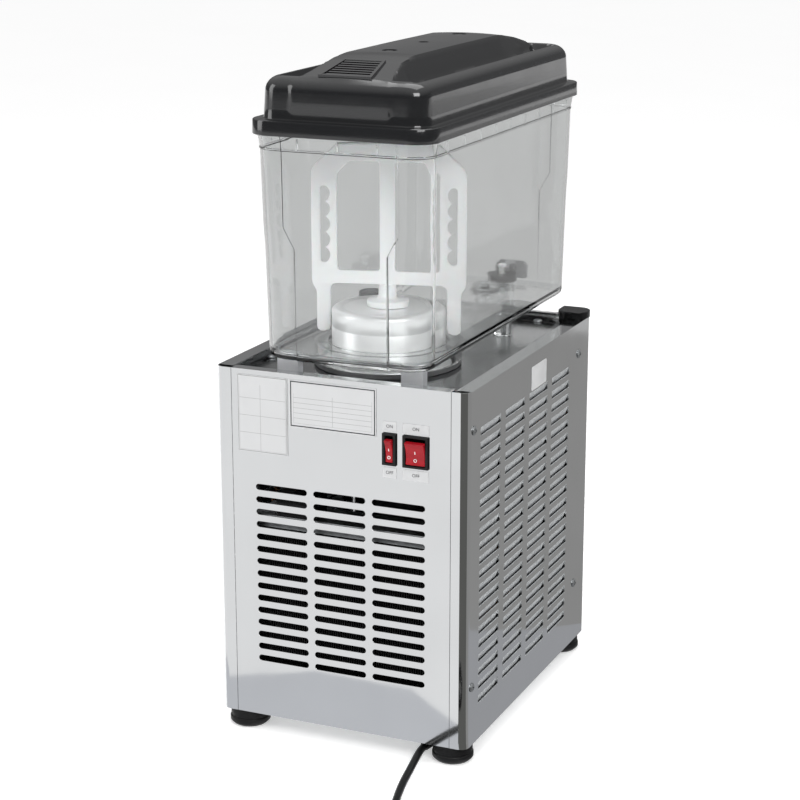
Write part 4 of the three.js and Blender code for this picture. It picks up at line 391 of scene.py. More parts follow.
def combined(body, others, operation):
    """The body with the others cut from it or joined to it."""
    for other in others:
        step = body.modifiers.new(operation, "BOOLEAN")
        step.operation, step.object, step.solver = operation, other, "EXACT"
    baked(body)
    for other in others:
        bpy.data.objects.remove(other)
    return body


def settled_piece(thing, material, body, nodes=()):
    """Gives a piece its material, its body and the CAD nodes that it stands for."""
    thing.data.materials.clear()
    thing.data.materials.append(material)
    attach(thing, body)
    if nodes:
        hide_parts(*nodes)
    return thing


def dressed(name, nodes, material, body, bevel=0.0, angle=35):
    """A merged copy of one or several CAD nodes, with smooth rounds and softened edges, in their place."""
    work = bmesh.new()
    for each in nodes:
        work.from_mesh(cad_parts[each].data)
    bmesh.ops.remove_doubles(work, verts=work.verts, dist=2e-6)
    bmesh.ops.dissolve_limit(work, angle_limit=radians(0.5), verts=work.verts, edges=work.edges)
    mesh = bpy.data.meshes.new(name)
    work.to_mesh(mesh)
    work.free()
    thing = linked(name, smoothed(mesh, angle))
    if bevel:
        bevelled(thing, bevel, 2, angle)
    weighted(thing)
    return settled_piece(thing, material, body, nodes)


def curve_mesh(data, matrix):
    """The mesh of a curve or a text, moved by the matrix."""
    shape = linked(data.name, data)
    bpy.context.view_layer.update()
    mesh = bpy.data.meshes.new_from_object(shape.evaluated_get(bpy.context.evaluated_depsgraph_get()))
    bpy.data.objects.remove(shape)
    mesh.transform(matrix)
    return mesh


def flat_curve(name, loops, thickness, bevel, matrix):
    """A flat outline with holes, given a thickness and rounded
    edges, then made a mesh and moved by the matrix."""
    data = bpy.data.curves.new(name, "CURVE")
    data.dimensions, data.fill_mode = "2D", "BOTH"
    data.extrude, data.bevel_depth, data.bevel_resolution = thickness / 2 - bevel, bevel, 2
    data.offset = -bevel
    for loop in loops:
        spline = data.splines.new("POLY")
        spline.points.add(len(loop) - 1)
        flat = np.column_stack([loop, np.zeros(len(loop)), np.ones(len(loop))])
        spline.points.foreach_set("co", flat.ravel())
        spline.use_cyclic_u = True
    return linked(name, settle(curve_mesh(data, matrix), 40))


# Materials

def effect(name, inputs, outputs):
    """A shader node group with named inputs and outputs."""
    tree = bpy.data.node_groups.new(name, "ShaderNodeTree")
    for label, kind, value in inputs:
        socket = tree.interface.new_socket(name=label, in_out="INPUT", socket_type=kind)
        socket.default_value = value
    for label, kind in outputs:
        tree.interface.new_socket(name=label, in_out="OUTPUT", socket_type=kind)
    return tree, tree.nodes.new("NodeGroupInput"), tree.nodes.new("NodeGroupOutput")


def node(tree, kind, links=(), **values):
    """A node with settings and socket values, and links from other sockets to its inputs."""
    made = tree.nodes.new(kind)
    for key, value in values.items():
        if key in made.bl_rna.properties:
            setattr(made, key, value)
        else:
            made.inputs[key.replace("_", " ")].default_value = value
    for place, source in dict(links).items():
        tree.links.new(source, made.inputs[place])
    return made


def cloud_effect():
    """Soft cloudy value: three-dimensional noise in object space, spread to the range 0 to 1."""
    tree, start, end = effect("Clouds", [("Scale", "NodeSocketFloat", 20.0),
                                         ("Stretch", "NodeSocketVector", (1, 1, 1))],
                              [("Value", "NodeSocketFloat")])
    where = node(tree, "ShaderNodeTexCoord")
    place = node(tree, "ShaderNodeMapping",
                 {"Vector": where.outputs["Object"], "Scale": start.outputs["Stretch"]})
    noise = node(tree, "ShaderNodeTexNoise", {"Vector": place.outputs[0], "Scale": start.outputs["Scale"]},
                 Detail=4.0)
    spread = node(tree, "ShaderNodeMapRange", {"Value": noise.outputs[0]})
    spread.inputs["From Min"].default_value, spread.inputs["From Max"].default_value = 0.3, 0.7
    tree.links.new(spread.outputs[0], end.inputs[0])
    return tree


def tone_effect(clouds):
    """A colour darkened a little where a cloudy value is high."""
    tree, start, end = effect("Tone", [("Colour", "NodeSocketColor", (0.5, 0.5, 0.5, 1)),
                                       ("Darkening", "NodeSocketFloat", 0.1),
                                       ("Scale", "NodeSocketFloat", 20.0)],
                              [("Colour", "NodeSocketColor")])
    cloud = node(tree, "ShaderNodeGroup", {"Scale": start.outputs["Scale"]}, node_tree=clouds,
                 Stretch=(1, 1, 1))
    amount = node(tree, "ShaderNodeMath", {0: cloud.outputs[0], 1: start.outputs["Darkening"]},
                  operation="MULTIPLY")
    share = node(tree, "ShaderNodeMath", {1: amount.outputs[0]}, operation="SUBTRACT")
    share.inputs[0].default_value = 1.0
    scaled = node(tree, "ShaderNodeVectorMath", {0: start.outputs["Colour"], "Scale": share.outputs[0]},
                  operation="SCALE")
    tree.links.new(scaled.outputs[0], end.inputs[0])
    return tree


def gloss_effect(clouds):
    """Roughness between two values, after a cloudy value such as finger marks and wiping leave."""
    tree, start, end = effect("Gloss", [("Least", "NodeSocketFloat", 0.1), ("Most", "NodeSocketFloat", 0.2),
                                        ("Scale", "NodeSocketFloat", 30.0),
                                        ("Stretch", "NodeSocketVector", (1, 1, 1))],
                              [("Roughness", "NodeSocketFloat")])
    cloud = node(tree, "ShaderNodeGroup",
                 {"Scale": start.outputs["Scale"], "Stretch": start.outputs["Stretch"]}, node_tree=clouds)
    spread = node(tree, "ShaderNodeMapRange", {"Value": cloud.outputs[0], "To Min": start.outputs["Least"],
                                               "To Max": start.outputs["Most"]})
    tree.links.new(spread.outputs[0], end.inputs[0])
    return tree


def group_node(tree, group, **values):
    """A placed effect with its own values."""
    made = tree.nodes.new("ShaderNodeGroup")
    made.node_tree = group
    for key, value in values.items():
        made.inputs[key].default_value = value
    return made


EFFECTS = {}
FINISHES = {}


def effects():
    """The shared effects, made once."""
    if not EFFECTS:
        EFFECTS["clouds"] = cloud_effect()
        EFFECTS["tone"] = tone_effect(EFFECTS["clouds"])
        EFFECTS["gloss"] = gloss_effect(EFFECTS["clouds"])
    return EFFECTS


def finish(name, base, drift, gloss, bumps, metallic=0.0, sockets=None):
    """A material: a colour that drifts, a gloss that varies, and one or two bumps, each (scale, distance,
    strength, stretch). drift is (darkening, scale) and gloss is (least, most, scale, stretch)."""
    if name in FINISHES:
        return FINISHES[name]
    shared = effects()
    material = bpy.data.materials.new(name)
    material.use_nodes = True
    tree = material.node_tree
    shader = tree.nodes["Principled BSDF"]
    tone = group_node(tree, shared["tone"], Colour=(*base, 1), Darkening=drift[0], Scale=drift[1])
    tree.links.new(tone.outputs[0], shader.inputs["Base Color"])
    sheen = group_node(tree, shared["gloss"], Least=gloss[0], Most=gloss[1], Scale=gloss[2], Stretch=gloss[3])
    tree.links.new(sheen.outputs[0], shader.inputs["Roughness"])
    shader.inputs["Metallic"].default_value = metallic
    for key, value in (sockets or {}).items():
        shader.inputs[key].default_value = value
    normal = None
    for scale, distance, strength, stretch in bumps:
        height = group_node(tree, shared["clouds"], Scale=scale, Stretch=stretch)
        bump = node(tree, "ShaderNodeBump", {"Height": height.outputs[0]}, Strength=strength,
                    Distance=distance)
        if normal:
            tree.links.new(normal, bump.inputs["Normal"])
        normal = bump.outputs[0]
    if normal:
        tree.links.new(normal, shader.inputs["Normal"])
    FINISHES[name] = material
    return material


EVEN = (1, 1, 1)


LOOKS = {
    "steel": ("polished_steel", "steel", (0.05, 9), (0.045, 0.11, 14, (1, 1, 0.4)),
              [(5, 0.002, 0.10, EVEN), (900, 0.00001, 0.25, (0.04, 0.04, 1))], 1.0),
    "deck": ("deck_steel", "deck", (0.10, 16), (0.10, 0.22, 20, EVEN),
             [(7, 0.002, 0.12, EVEN), (900, 0.00001, 0.3, (1, 0.05, 1))], 1.0),
    "drum": ("satin_steel", "drum", (0.05, 20), (0.30, 0.40, 20, EVEN), [(900, 0.00001, 0.3, (1, 1, 0.05))],
             0.5),
    "louvre": ("louvre_steel", "louvre", (0.15, 90), (0.36, 0.52, 60, EVEN), [(220, 0.0001, 0.2, EVEN)], 0.3),
    "seal": ("seal_rubber", "seal", (0.2, 50), (0.35, 0.5, 70, EVEN), [(1200, 0.00005, 0.3, EVEN)]),
    "zinc": ("galvanised_sheet", "galvanised", (0.35, 120), (0.28, 0.5, 90, EVEN), [(160, 0.0002, 0.2, EVEN)],
             1.0),
    "black": ("black_plastic", "black_plastic", (0.15, 40), (0.28, 0.42, 60, EVEN),
              [(2600, 0.00004, 0.3, EVEN)], 0.0, {"Specular IOR Level": 0.35}),
    "gloss_black": ("gloss_black_plastic", "black_plastic", (0.15, 40), (0.12, 0.22, 30, EVEN),
                    [(600, 0.00003, 0.2, EVEN)], 0.0, {"Specular IOR Level": 0.3}),
    "lid": ("lid_plastic", "lid", (0.12, 22), (0.09, 0.16, 26, EVEN),
            [(1500, 0.00002, 0.15, EVEN), (22, 0.0004, 0.05, EVEN)], 0.0,
            {"Coat Weight": 0.3, "Coat Roughness": 0.05, "IOR": 1.62}),
    "white": ("milky_plastic", "white_plastic", (0.04, 30), (0.30, 0.42, 60, EVEN),
              [(700, 0.00004, 0.2, EVEN)], 0.0, {"Subsurface Weight": 0.1, "Subsurface Scale": 0.003}),
    "handle": ("handle_plastic", "handle", (0.15, 40), (0.30, 0.4, 40, EVEN), [(900, 0.00003, 0.2, EVEN)]),
    "frosted": ("frosted_plastic", "frosted", (0.1, 60), (0.42, 0.55, 60, EVEN), [(500, 0.00005, 0.3, EVEN)],
                0.0, {"Transmission Weight": 0.5, "IOR": 1.46}),
    "rubber": ("black_rubber", "rubber", (0.2, 50), (0.42, 0.6, 70, EVEN), [(1800, 0.00006, 0.35, EVEN)], 0.0,
               {"Specular IOR Level": 0.3}),
    "lead": ("lead_sleeve", "rubber", (0.2, 50), (0.30, 0.45, 70, EVEN), [(1800, 0.00004, 0.25, EVEN)], 0.0,
             {"Specular IOR Level": 0.35}),
    "red": ("red_switch_plastic", "red", (0.25, 120), (0.16, 0.26, 90, EVEN), [(900, 0.00003, 0.15, EVEN)],
            0.0, {"Specular IOR Level": 0.3}),
    "painted": ("black_paint", "painted", (0.3, 60), (0.35, 0.55, 50, EVEN), [(900, 0.00008, 0.35, EVEN)]),
    "copper": ("copper_pipe", "copper", (0.4, 60), (0.25, 0.45, 80, EVEN), [(400, 0.00005, 0.3, EVEN)], 1.0),
    "film": ("label_film", "label", (0.04, 60), (0.32, 0.42, 50, EVEN), [(500, 0.00002, 0.15, EVEN)]),
    "mark": ("white_print", (0.9, 0.9, 0.9), (0.05, 200), (0.35, 0.45, 90, EVEN),
             [(900, 0.00002, 0.1, EVEN)]),
    "ink": ("dark_print", (0.03, 0.03, 0.035), (0.3, 300), (0.35, 0.5, 90, EVEN),
            [(900, 0.00002, 0.1, EVEN)]),
}


def look(key):
    """The named finish, with its colour from the sidebar."""
    name, tone, *surface = LOOKS[key]
    base = getattr(bpy.context.scene.dispenser_finish, tone) if isinstance(tone, str) else tone
    return finish(name, base, *surface)


def clear_look():
    """Clear plastic that is faintly grey; the light of the lamps passes through it without a dark shadow."""
    if "clear" in FINISHES:
        return FINISHES["clear"]
    c = bpy.context.scene.dispenser_finish
    material = finish("clear_plastic", c.bowl, (0.03, 12), (0.015, 0.05, 24, EVEN), [(9, 0.001, 0.06, EVEN)],
                      0.0, {"Transmission Weight": 1.0, "IOR": 1.46})
    tree = material.node_tree
    shader = tree.nodes["Principled BSDF"]
    path = tree.nodes.new("ShaderNodeLightPath")
    veil = node(tree, "ShaderNodeMath", {0: path.outputs["Is Shadow Ray"]}, operation="MULTIPLY_ADD")
    veil.inputs[1].default_value, veil.inputs[2].default_value = -0.88, 1.0
    tree.links.new(veil.outputs[0], shader.inputs["Alpha"])
    FINISHES["clear"] = material
    return material


def printed_look(name, border, rows, column, margin, heading):
    """Printed film: a border and a ruled table in dark lines, worked out from the piece's own UV map in
    metres. A line shows where the distance to the nearest ruling is under half the line's width. rows is
    the space between level rulings, and column the share of the width where the upright one stands."""
    if name in FINISHES:
        return FINISHES[name]
    c = bpy.context.scene.dispenser_finish
    material = finish(name, c.label, (0.03, 60), (0.30, 0.4, 50, EVEN), [(500, 0.00002, 0.1, EVEN)])
    tree = material.node_tree
    shader = tree.nodes["Principled BSDF"]
    tone = shader.inputs["Base Color"].links[0].from_socket
    uv = tree.nodes.new("ShaderNodeUVMap")
    uv.uv_map = "print"
    split = node(tree, "ShaderNodeSeparateXYZ", {0: uv.outputs[0]})
    size = node(tree, "ShaderNodeUVMap")
    size.uv_map = "size"
    whole = node(tree, "ShaderNodeSeparateXYZ", {0: size.outputs[0]})

    def maths(kind, a, b=None):
        step = tree.nodes.new("ShaderNodeMath")
        step.operation = kind
        for place, value in enumerate((a, b)):
            if value is None:
                continue
            if isinstance(value, (int, float)):
                step.inputs[place].default_value = value
            else:
                tree.links.new(value, step.inputs[place])
        return step.outputs[0]

    x, z, width, height = split.outputs[0], split.outputs[1], whole.outputs[0], whole.outputs[1]
    edge = maths("MINIMUM", maths("MINIMUM", x, maths("SUBTRACT", width, x)),
                 maths("MINIMUM", z, maths("SUBTRACT", height, z)))
    half_line = 0.00016
    frame_line = maths("MULTIPLY", maths("GREATER_THAN", edge, border[0]),
                       maths("LESS_THAN", edge, border[1]))
    within = maths("MULTIPLY", maths("GREATER_THAN", edge, margin),
                   maths("LESS_THAN", z, maths("SUBTRACT", height, heading)))
    ruled = maths("LESS_THAN", maths("PINGPONG", maths("SUBTRACT", z, margin), rows / 2), half_line)
    upright = maths("LESS_THAN", maths("ABSOLUTE", maths("SUBTRACT", x, maths("MULTIPLY", width, column))),
                    half_line)
    rim = maths("LESS_THAN", maths("ABSOLUTE", maths("SUBTRACT", edge, margin)), 0.00018)
    table = maths("MULTIPLY", maths("MAXIMUM", ruled, maths("MAXIMUM", upright, rim)), within)
    mask = maths("MAXIMUM", frame_line, maths("MULTIPLY", table, 0.55))
    mix = node(tree, "ShaderNodeMix", {"Factor": mask, "A": tone}, data_type="RGBA", B=(0.02, 0.02, 0.024, 1))
    tree.links.new(mix.outputs["Result"], shader.inputs["Base Color"])
    return material


# Camera and mains lead

CAMERA_PLACE = (-0.80771, 1.92863, 0.86546)
CORD_POINTS = [
    (-0.082, 0.208, 0.009), (-0.082, 0.216, 0.009), (-0.0835, 0.227, 0.0093), (-0.0866, 0.244, 0.0094),
    (-0.0896, 0.262, 0.0086), (-0.0922, 0.281, 0.007), (-0.0964, 0.302, 0.0058), (-0.1016, 0.322, 0.0055),
    (-0.1076, 0.343, 0.0055), (-0.1156, 0.3715, 0.0055), (-0.122, 0.394, 0.0055),
]
CORD_ANGLE = radians(15.7)
CORD_HEADING = np.array([-sin(CORD_ANGLE), cos(CORD_ANGLE), 0.0])
CORD_OUTWARDS = np.array([cos(CORD_ANGLE), sin(CORD_ANGLE), 0.0])
CORD_START_TAIL, CORD_END_TAIL = 0.008, 0.034


def cord_line(sizes):
    """The lead's centreline: a smooth free stretch, then two
    flat spirals, in and out, the second above the first."""
    free = smooth_path(CORD_POINTS, 34)
    radius = sizes.mean_radius + sizes.turns / 2 * sizes.pitch
    entry = np.array(CORD_POINTS[-1]) + CORD_HEADING * (CLEARANCE + CORD_START_TAIL)
    centre = entry - CORD_OUTWARDS * radius
    whole = 2 * sizes.turns
    t = np.linspace(0, whole, int(round(whole * 30)) + 1)
    reach = radius - sizes.pitch * np.minimum(t, whole - t)
    rise = sizes.pitch * eased(t, sizes.turns - 0.25, sizes.turns + 0.25)
    angle = CORD_ANGLE + t * 2 * pi
    coil = np.column_stack([centre[0] + reach * np.cos(angle), centre[1] + reach * np.sin(angle),
                            entry[2] + rise])
    tail = coil[-1] + CORD_HEADING * np.linspace(0.004, CORD_END_TAIL, 5)[:, None]
    return np.vstack([free, coil, tail]), centre, radius, entry[2]


class DISPENSER_OT_camera(bpy.types.Operator):
    """Puts the camera where the photograph was taken from"""
    bl_idname = "dispenser.camera"
    bl_label = "Camera"

    def execute(self, context):
        sizes = context.scene.dispenser_stage
        data = bpy.data.cameras.new("camera")
        data.lens, data.sensor_width = sizes.lens, 36
        data.clip_start, data.clip_end = 0.01, 60
        camera = linked("camera", data)
        a, e = sizes.azimuth, sizes.elevation
        back = Vector((sin(a) * cos(e), -cos(a) * cos(e), sin(e)))
        camera.location = CAMERA_PLACE
        camera.rotation_mode = "QUATERNION"
        camera.rotation_quaternion = (-back).to_track_quat("-Z", "Y")
        context.scene.camera = camera
        return {"FINISHED"}


class DISPENSER_OT_cord(bpy.types.Operator):
    """Makes the mains lead with its relief, coil, tie and plug"""
    bl_idname = "dispenser.cord"
    bl_label = "Mains lead"

    def execute(self, context):
        sizes = context.scene.dispenser_cord
        line, centre, radius, level = cord_line(sizes)
        data = bpy.data.curves.new("mains_lead", "CURVE")
        data.dimensions = "3D"
        data.bevel_depth, data.bevel_resolution, data.use_fill_caps = sizes.diameter / 2, 5, True
        spline = data.splines.new("POLY")
        spline.points.add(len(line) - 1)
        spline.points.foreach_set("co", np.column_stack([line, np.ones(len(line))]).ravel())
        spline.use_smooth = True
        lead = linked("mains_lead", data)
        settled_piece(lead, look("lead"), "cabinet", ["cord_run", "cord_coil"])
        plug = self.plug(line[-1])
        tie = self.tie(centre, radius, level, sizes)
        relief = self.relief()
        return {"FINISHED"}

    def plug(self, end):
        """Two-pin plug: a ribbed neck, a body that swells to a rounded block, and two round pins."""
        n = 26
        t = np.linspace(0, 1, n)
        neck = 0.0044 + 0.0012 * np.minimum(t / 0.35, 1) + 0.0007 * np.where(t < 0.33, np.sin(t * 95), 0)
        swell = eased(t, 0.34, 0.50)
        tuck = np.clip((t - 0.94) / 0.06, 0, 1) ** 2 * 0.0022
        half_x = neck + (0.015 - neck) * swell - tuck
        half_z = neck + (0.011 - neck) * swell - tuck
        corner = neck * 0.98 + (0.0065 - neck * 0.98) * swell
        rings = [rounded_ring(a, b, min(c, b * 0.98), CLEARANCE + 0.052 * s, 0, 6)
                 for a, b, c, s in zip(half_x, half_z, corner, t)]
        parts = [loft(rings)]
        for side in (-1, 1):
            profile = [(0, 0.050), (0.0024, 0.050), (0.0024, 0.070), (0.0020, 0.0711), (0, 0.0713)]
            parts.append(lathe(profile, 20, (side * 0.0095, 0)))
        turn = moved(Vector(end)) @ turned(CORD_ANGLE, "Z") @ turned(-pi / 2, "X")
        body = mesh_object("plug_body", placed(parts[0], turn), 45)
        pins = mesh_object("plug_pins", placed(joined(*parts[1:]), turn))
        settled_piece(pins, look("zinc"), "cabinet", ())
        pins.parent = body
        return settled_piece(body, look("lead"), "cabinet", ["power_plug"])

    def tie(self, centre, radius, level, sizes):
        """Flat band round the coil's bundle: a rounded rectangle
        carried along the bundle for the band's width."""
        slack, band = 0.0006, 0.0012
        inner = radius - sizes.turns * sizes.pitch - sizes.diameter / 2 - slack
        outer = radius + sizes.diameter / 2 + slack
        top = level + sizes.pitch + sizes.diameter / 2 + slack
        halfway, half = (inner + outer) / 2, (outer - inner) / 2
        height, half_height = (band + top) / 2, (top - band) / 2
        rings = []
        for grow, side in ((0, -1), (band, -1), (band, 1), (0, 1)):
            ring = rounded_ring(half + grow, half_height + grow, 0.004 + grow, side * 0.006, 0, 6)
            rings.append(np.column_stack([ring[:, 0] + halfway, ring[:, 2], ring[:, 1] + height]))
        turn = moved(Vector((centre[0], centre[1], 0))) @ turned(CORD_ANGLE + pi, "Z")
        points, faces = loft(rings, close=True)
        strap = mesh_object("lead_tie", placed((points, faces), turn))
        bevelled(strap, 0.0003, 2)
        return settled_piece(strap, look("rubber"), "cabinet", ["cord_tie"])

    def relief(self):
        """Ribbed sleeve where the lead leaves the base: a tapering
        radius with shallow rings, turned about the lead."""
        lo, hi = low("cord_relief"), high("cord_relief")
        x, z = CORD_POINTS[0][0], CORD_POINTS[0][2]
        y = np.linspace(lo[1], hi[1], 60)
        s = (y - lo[1]) / (hi[1] - lo[1])
        radius = np.where(s < 0.56, 0.0064, 0.0064 + (0.0046 - 0.0064) * (s - 0.56) / 0.44)
        radius = radius - np.where((s > 0.58) & (s < 0.96), 0.0006 * (np.sin(s * 88) > 0.2), 0)
        profile = np.vstack([[0, y[0]], np.column_stack([radius, y]), [0, y[-1]]])
        points, faces = lathe(profile, 32)
        laid = np.column_stack([points[:, 0] + x, points[:, 2], -points[:, 1] + z])
        foot = box_part((lo[0], hi[0]), (lo[1], lo[1] + 0.018), (z, hi[2]))
        sleeve = mesh_object("cord_sleeve", joined((laid, faces), foot), 30)
        bevelled(sleeve, 0.0003, 2)
        return settled_piece(sleeve, look("black"), "cabinet", ["cord_relief"])


# Stage

# CARD_GLOW is the glow of cards that are no lamps: they paint the steel's reflections and the background seen
# in the bowl.
FLOOR_GLOW, CARD_GLOW = 0.42, 1.2


class DISPENSER_OT_stage(bpy.types.Operator):
    """Lays the plain pale floor and sets soft studio light"""
    bl_idname = "dispenser.stage"
    bl_label = "Stage and light"

    def execute(self, context):
        sizes = context.scene.dispenser_stage
        reach = 14.0
        corners = np.array([[-reach, -reach, 0], [reach, -reach, 0], [reach, reach, 0], [-reach, reach, 0]])
        floor = mesh_object("floor", (corners, [[0, 1, 2, 3]]), turn_out=False)
        material = finish("pale_floor", sizes.floor, (0.01, 2), (0.6, 0.7, 4, EVEN), [])
        shader = material.node_tree.nodes["Principled BSDF"]
        shader.inputs["Emission Color"].default_value = (1, 1, 1, 1)
        shader.inputs["Emission Strength"].default_value = FLOOR_GLOW
        floor.data.materials.append(material)
        self.cards()
        self.lamp("key_softbox", (-1.5, 1.8, 1.9), (1.5, 1.1), 34)
        self.lamp("fill_softbox", (2.0, 1.3, 1.3), (1.2, 1.6), 15)
        self.lamp("top_softbox", (0.0, -0.3, 2.7), (1.8, 1.8), 22)
        world = bpy.data.worlds.new("studio")
        context.scene.world = world
        world.use_nodes = True
        self.room(world.node_tree)
        context.scene.view_settings.view_transform = "Standard"
        context.scene.view_settings.look = "None"
        return {"FINISHED"}

    def cards(self):
        """Glowing toned cards on the floor that only the polished sheet reflects, as painted reflections:
        light behind the machine, dark off its near corner, mid grey beside it,
        and the paper round its foot in painted shade. Two more glow only through the clear bowl, as a painted
        grey background."""
        rear, side = REAR + 0.002, -SIDE - 0.002
        # Every card here glows in its tone and shows only in the steel's reflection: painted reflections, not
        # cards that light the machine.
        lying = {
            "light_card": ([(side, rear), (5, rear), (5, 6), (side + 1.2, 6)], 0.0006, (0.86, 0.86, 0.865)),
            "dark_card": ([(side, rear), (side + 1.2, 6), (-6, 6), (-6, 1.5), (side, rear - 0.02)], 0.0006,
                          (0.11, 0.11, 0.105)),
            "side_card": ([(side, rear - 0.02), (-6, 1.5), (-6, -1.5), (side, -1.5)], 0.0007,
                          (0.275, 0.273, 0.27)),
            "far_card": ([(side, -1.5), (-6, -1.5), (-6, -7), (side, -7)], 0.0007, (0.47, 0.47, 0.47)),
            # The two paper cards glow as a painted reflection of the paper round the foot, toned darker as
            # painted shade from the machine.
            "painted_paper_reflection_rear": ([(side, 0.223), (0.30, 0.223), (0.30, 0.26), (0.175, 0.334), (0.104, 0.377),
                            (-0.009, 0.374), (-0.071, 0.322), (side, 0.27)], 0.0009, (0.57, 0.58, 0.61)),
            "painted_paper_reflection_side": ([(side, 0.19), (side, -0.19), (-0.147, -0.181), (-0.174, -0.156), (-0.197, -0.138),
                            (-0.26, -0.107), (-0.45, -0.03), (-0.40, 0.08)], 0.0009, (0.33, 0.335, 0.35)),
        }
        for name, (outline, level, tone) in lying.items():
            flat = np.column_stack([np.array(outline), np.full(len(outline), level)])
            card = mesh_object(name, (flat, [list(range(len(outline)))]), turn_out=False)
            card.visible_transmission = False
            self.seen_only(card, name, tone)
        # The back and front cards glow grey and show only through the clear bowl: a painted grey background
        # behind and under it.
        across, away = np.array([0.916, 0.400, 0]), np.array([0.440, -1.010, 0])
        corners = np.array([away - 1.7 * across, away + 1.7 * across, away + 1.7 * across,
                            away - 1.7 * across])
        corners[:, 2] = (0.001, 0.001, 2.8, 2.8)
        back = mesh_object("back_card", (corners, [[0, 1, 2, 3]]), turn_out=False)
        back.visible_glossy = False
        self.seen_only(back, "back_card", (0.445, 0.44, 0.438))
        outline = np.array([(-1.6, -0.14, 0.0004), (-1.6, -1.4, 0.0004), (3, -1.4, 0.0004),
                            (3, -0.14, 0.0004)])
        front = mesh_object("front_card", (outline, [[0, 1, 2, 3]]), turn_out=False)
        front.visible_glossy = False
        self.seen_only(front, "front_card", (0.36, 0.36, 0.36))

    def seen_only(self, card, name, tone):
        """Makes a card glow in its tone and hides it from the camera and from the light in the room."""
        material = finish(name, tone, (0.07, 1.6), (0.9, 1.0, 2, EVEN), [])
        tree = material.node_tree
        shader = tree.nodes["Principled BSDF"]
        link = shader.inputs["Base Color"].links[0]
        tree.links.new(link.from_socket, shader.inputs["Emission Color"])
        tree.links.remove(link)
        shader.inputs["Base Color"].default_value = (0, 0, 0, 1)
        shader.inputs["Specular IOR Level"].default_value = 0
        shader.inputs["Emission Strength"].default_value = CARD_GLOW
        card.data.materials.append(material)
        card.visible_camera = card.visible_diffuse = card.visible_shadow = False

    def lamp(self, name, place, size, power):
        """A rectangular softbox that points at the middle of the machine."""
        data = bpy.data.lights.new(name, "AREA")
        data.shape, data.size, data.size_y, data.energy = "RECTANGLE", size[0], size[1], power
        lamp = linked(name, data)
        lamp.location = place
        aim = Vector((0, 0.02, 0.35)) - Vector(place)
        lamp.rotation_mode = "QUATERNION"
        lamp.rotation_quaternion = aim.to_track_quat("-Z", "Y")

    def room(self, tree):
        """Even light from the room: bright overhead, greyer near
        the horizon, and plain white to the camera."""
        back = tree.nodes["Background"]
        where = node(tree, "ShaderNodeTexCoord")
        split = node(tree, "ShaderNodeSeparateXYZ", {0: where.outputs["Generated"]})
        ramp = node(tree, "ShaderNodeValToRGB", {"Fac": split.outputs["Z"]})
        for stop, place, tone in zip(ramp.color_ramp.elements, (0.22, 0.85),
                                     ((0.20, 0.20, 0.202, 1), (0.86, 0.86, 0.86, 1))):
            stop.position, stop.color = place, tone
        path = tree.nodes.new("ShaderNodeLightPath")
        mix = node(tree, "ShaderNodeMix", {"Factor": path.outputs["Is Camera Ray"], "A": ramp.outputs[0]},
                   data_type="RGBA", B=(1.05, 1.05, 1.05, 1))
        tree.links.new(mix.outputs["Result"], back.inputs["Color"])
        back.inputs["Strength"].default_value = 1


# Cabinet

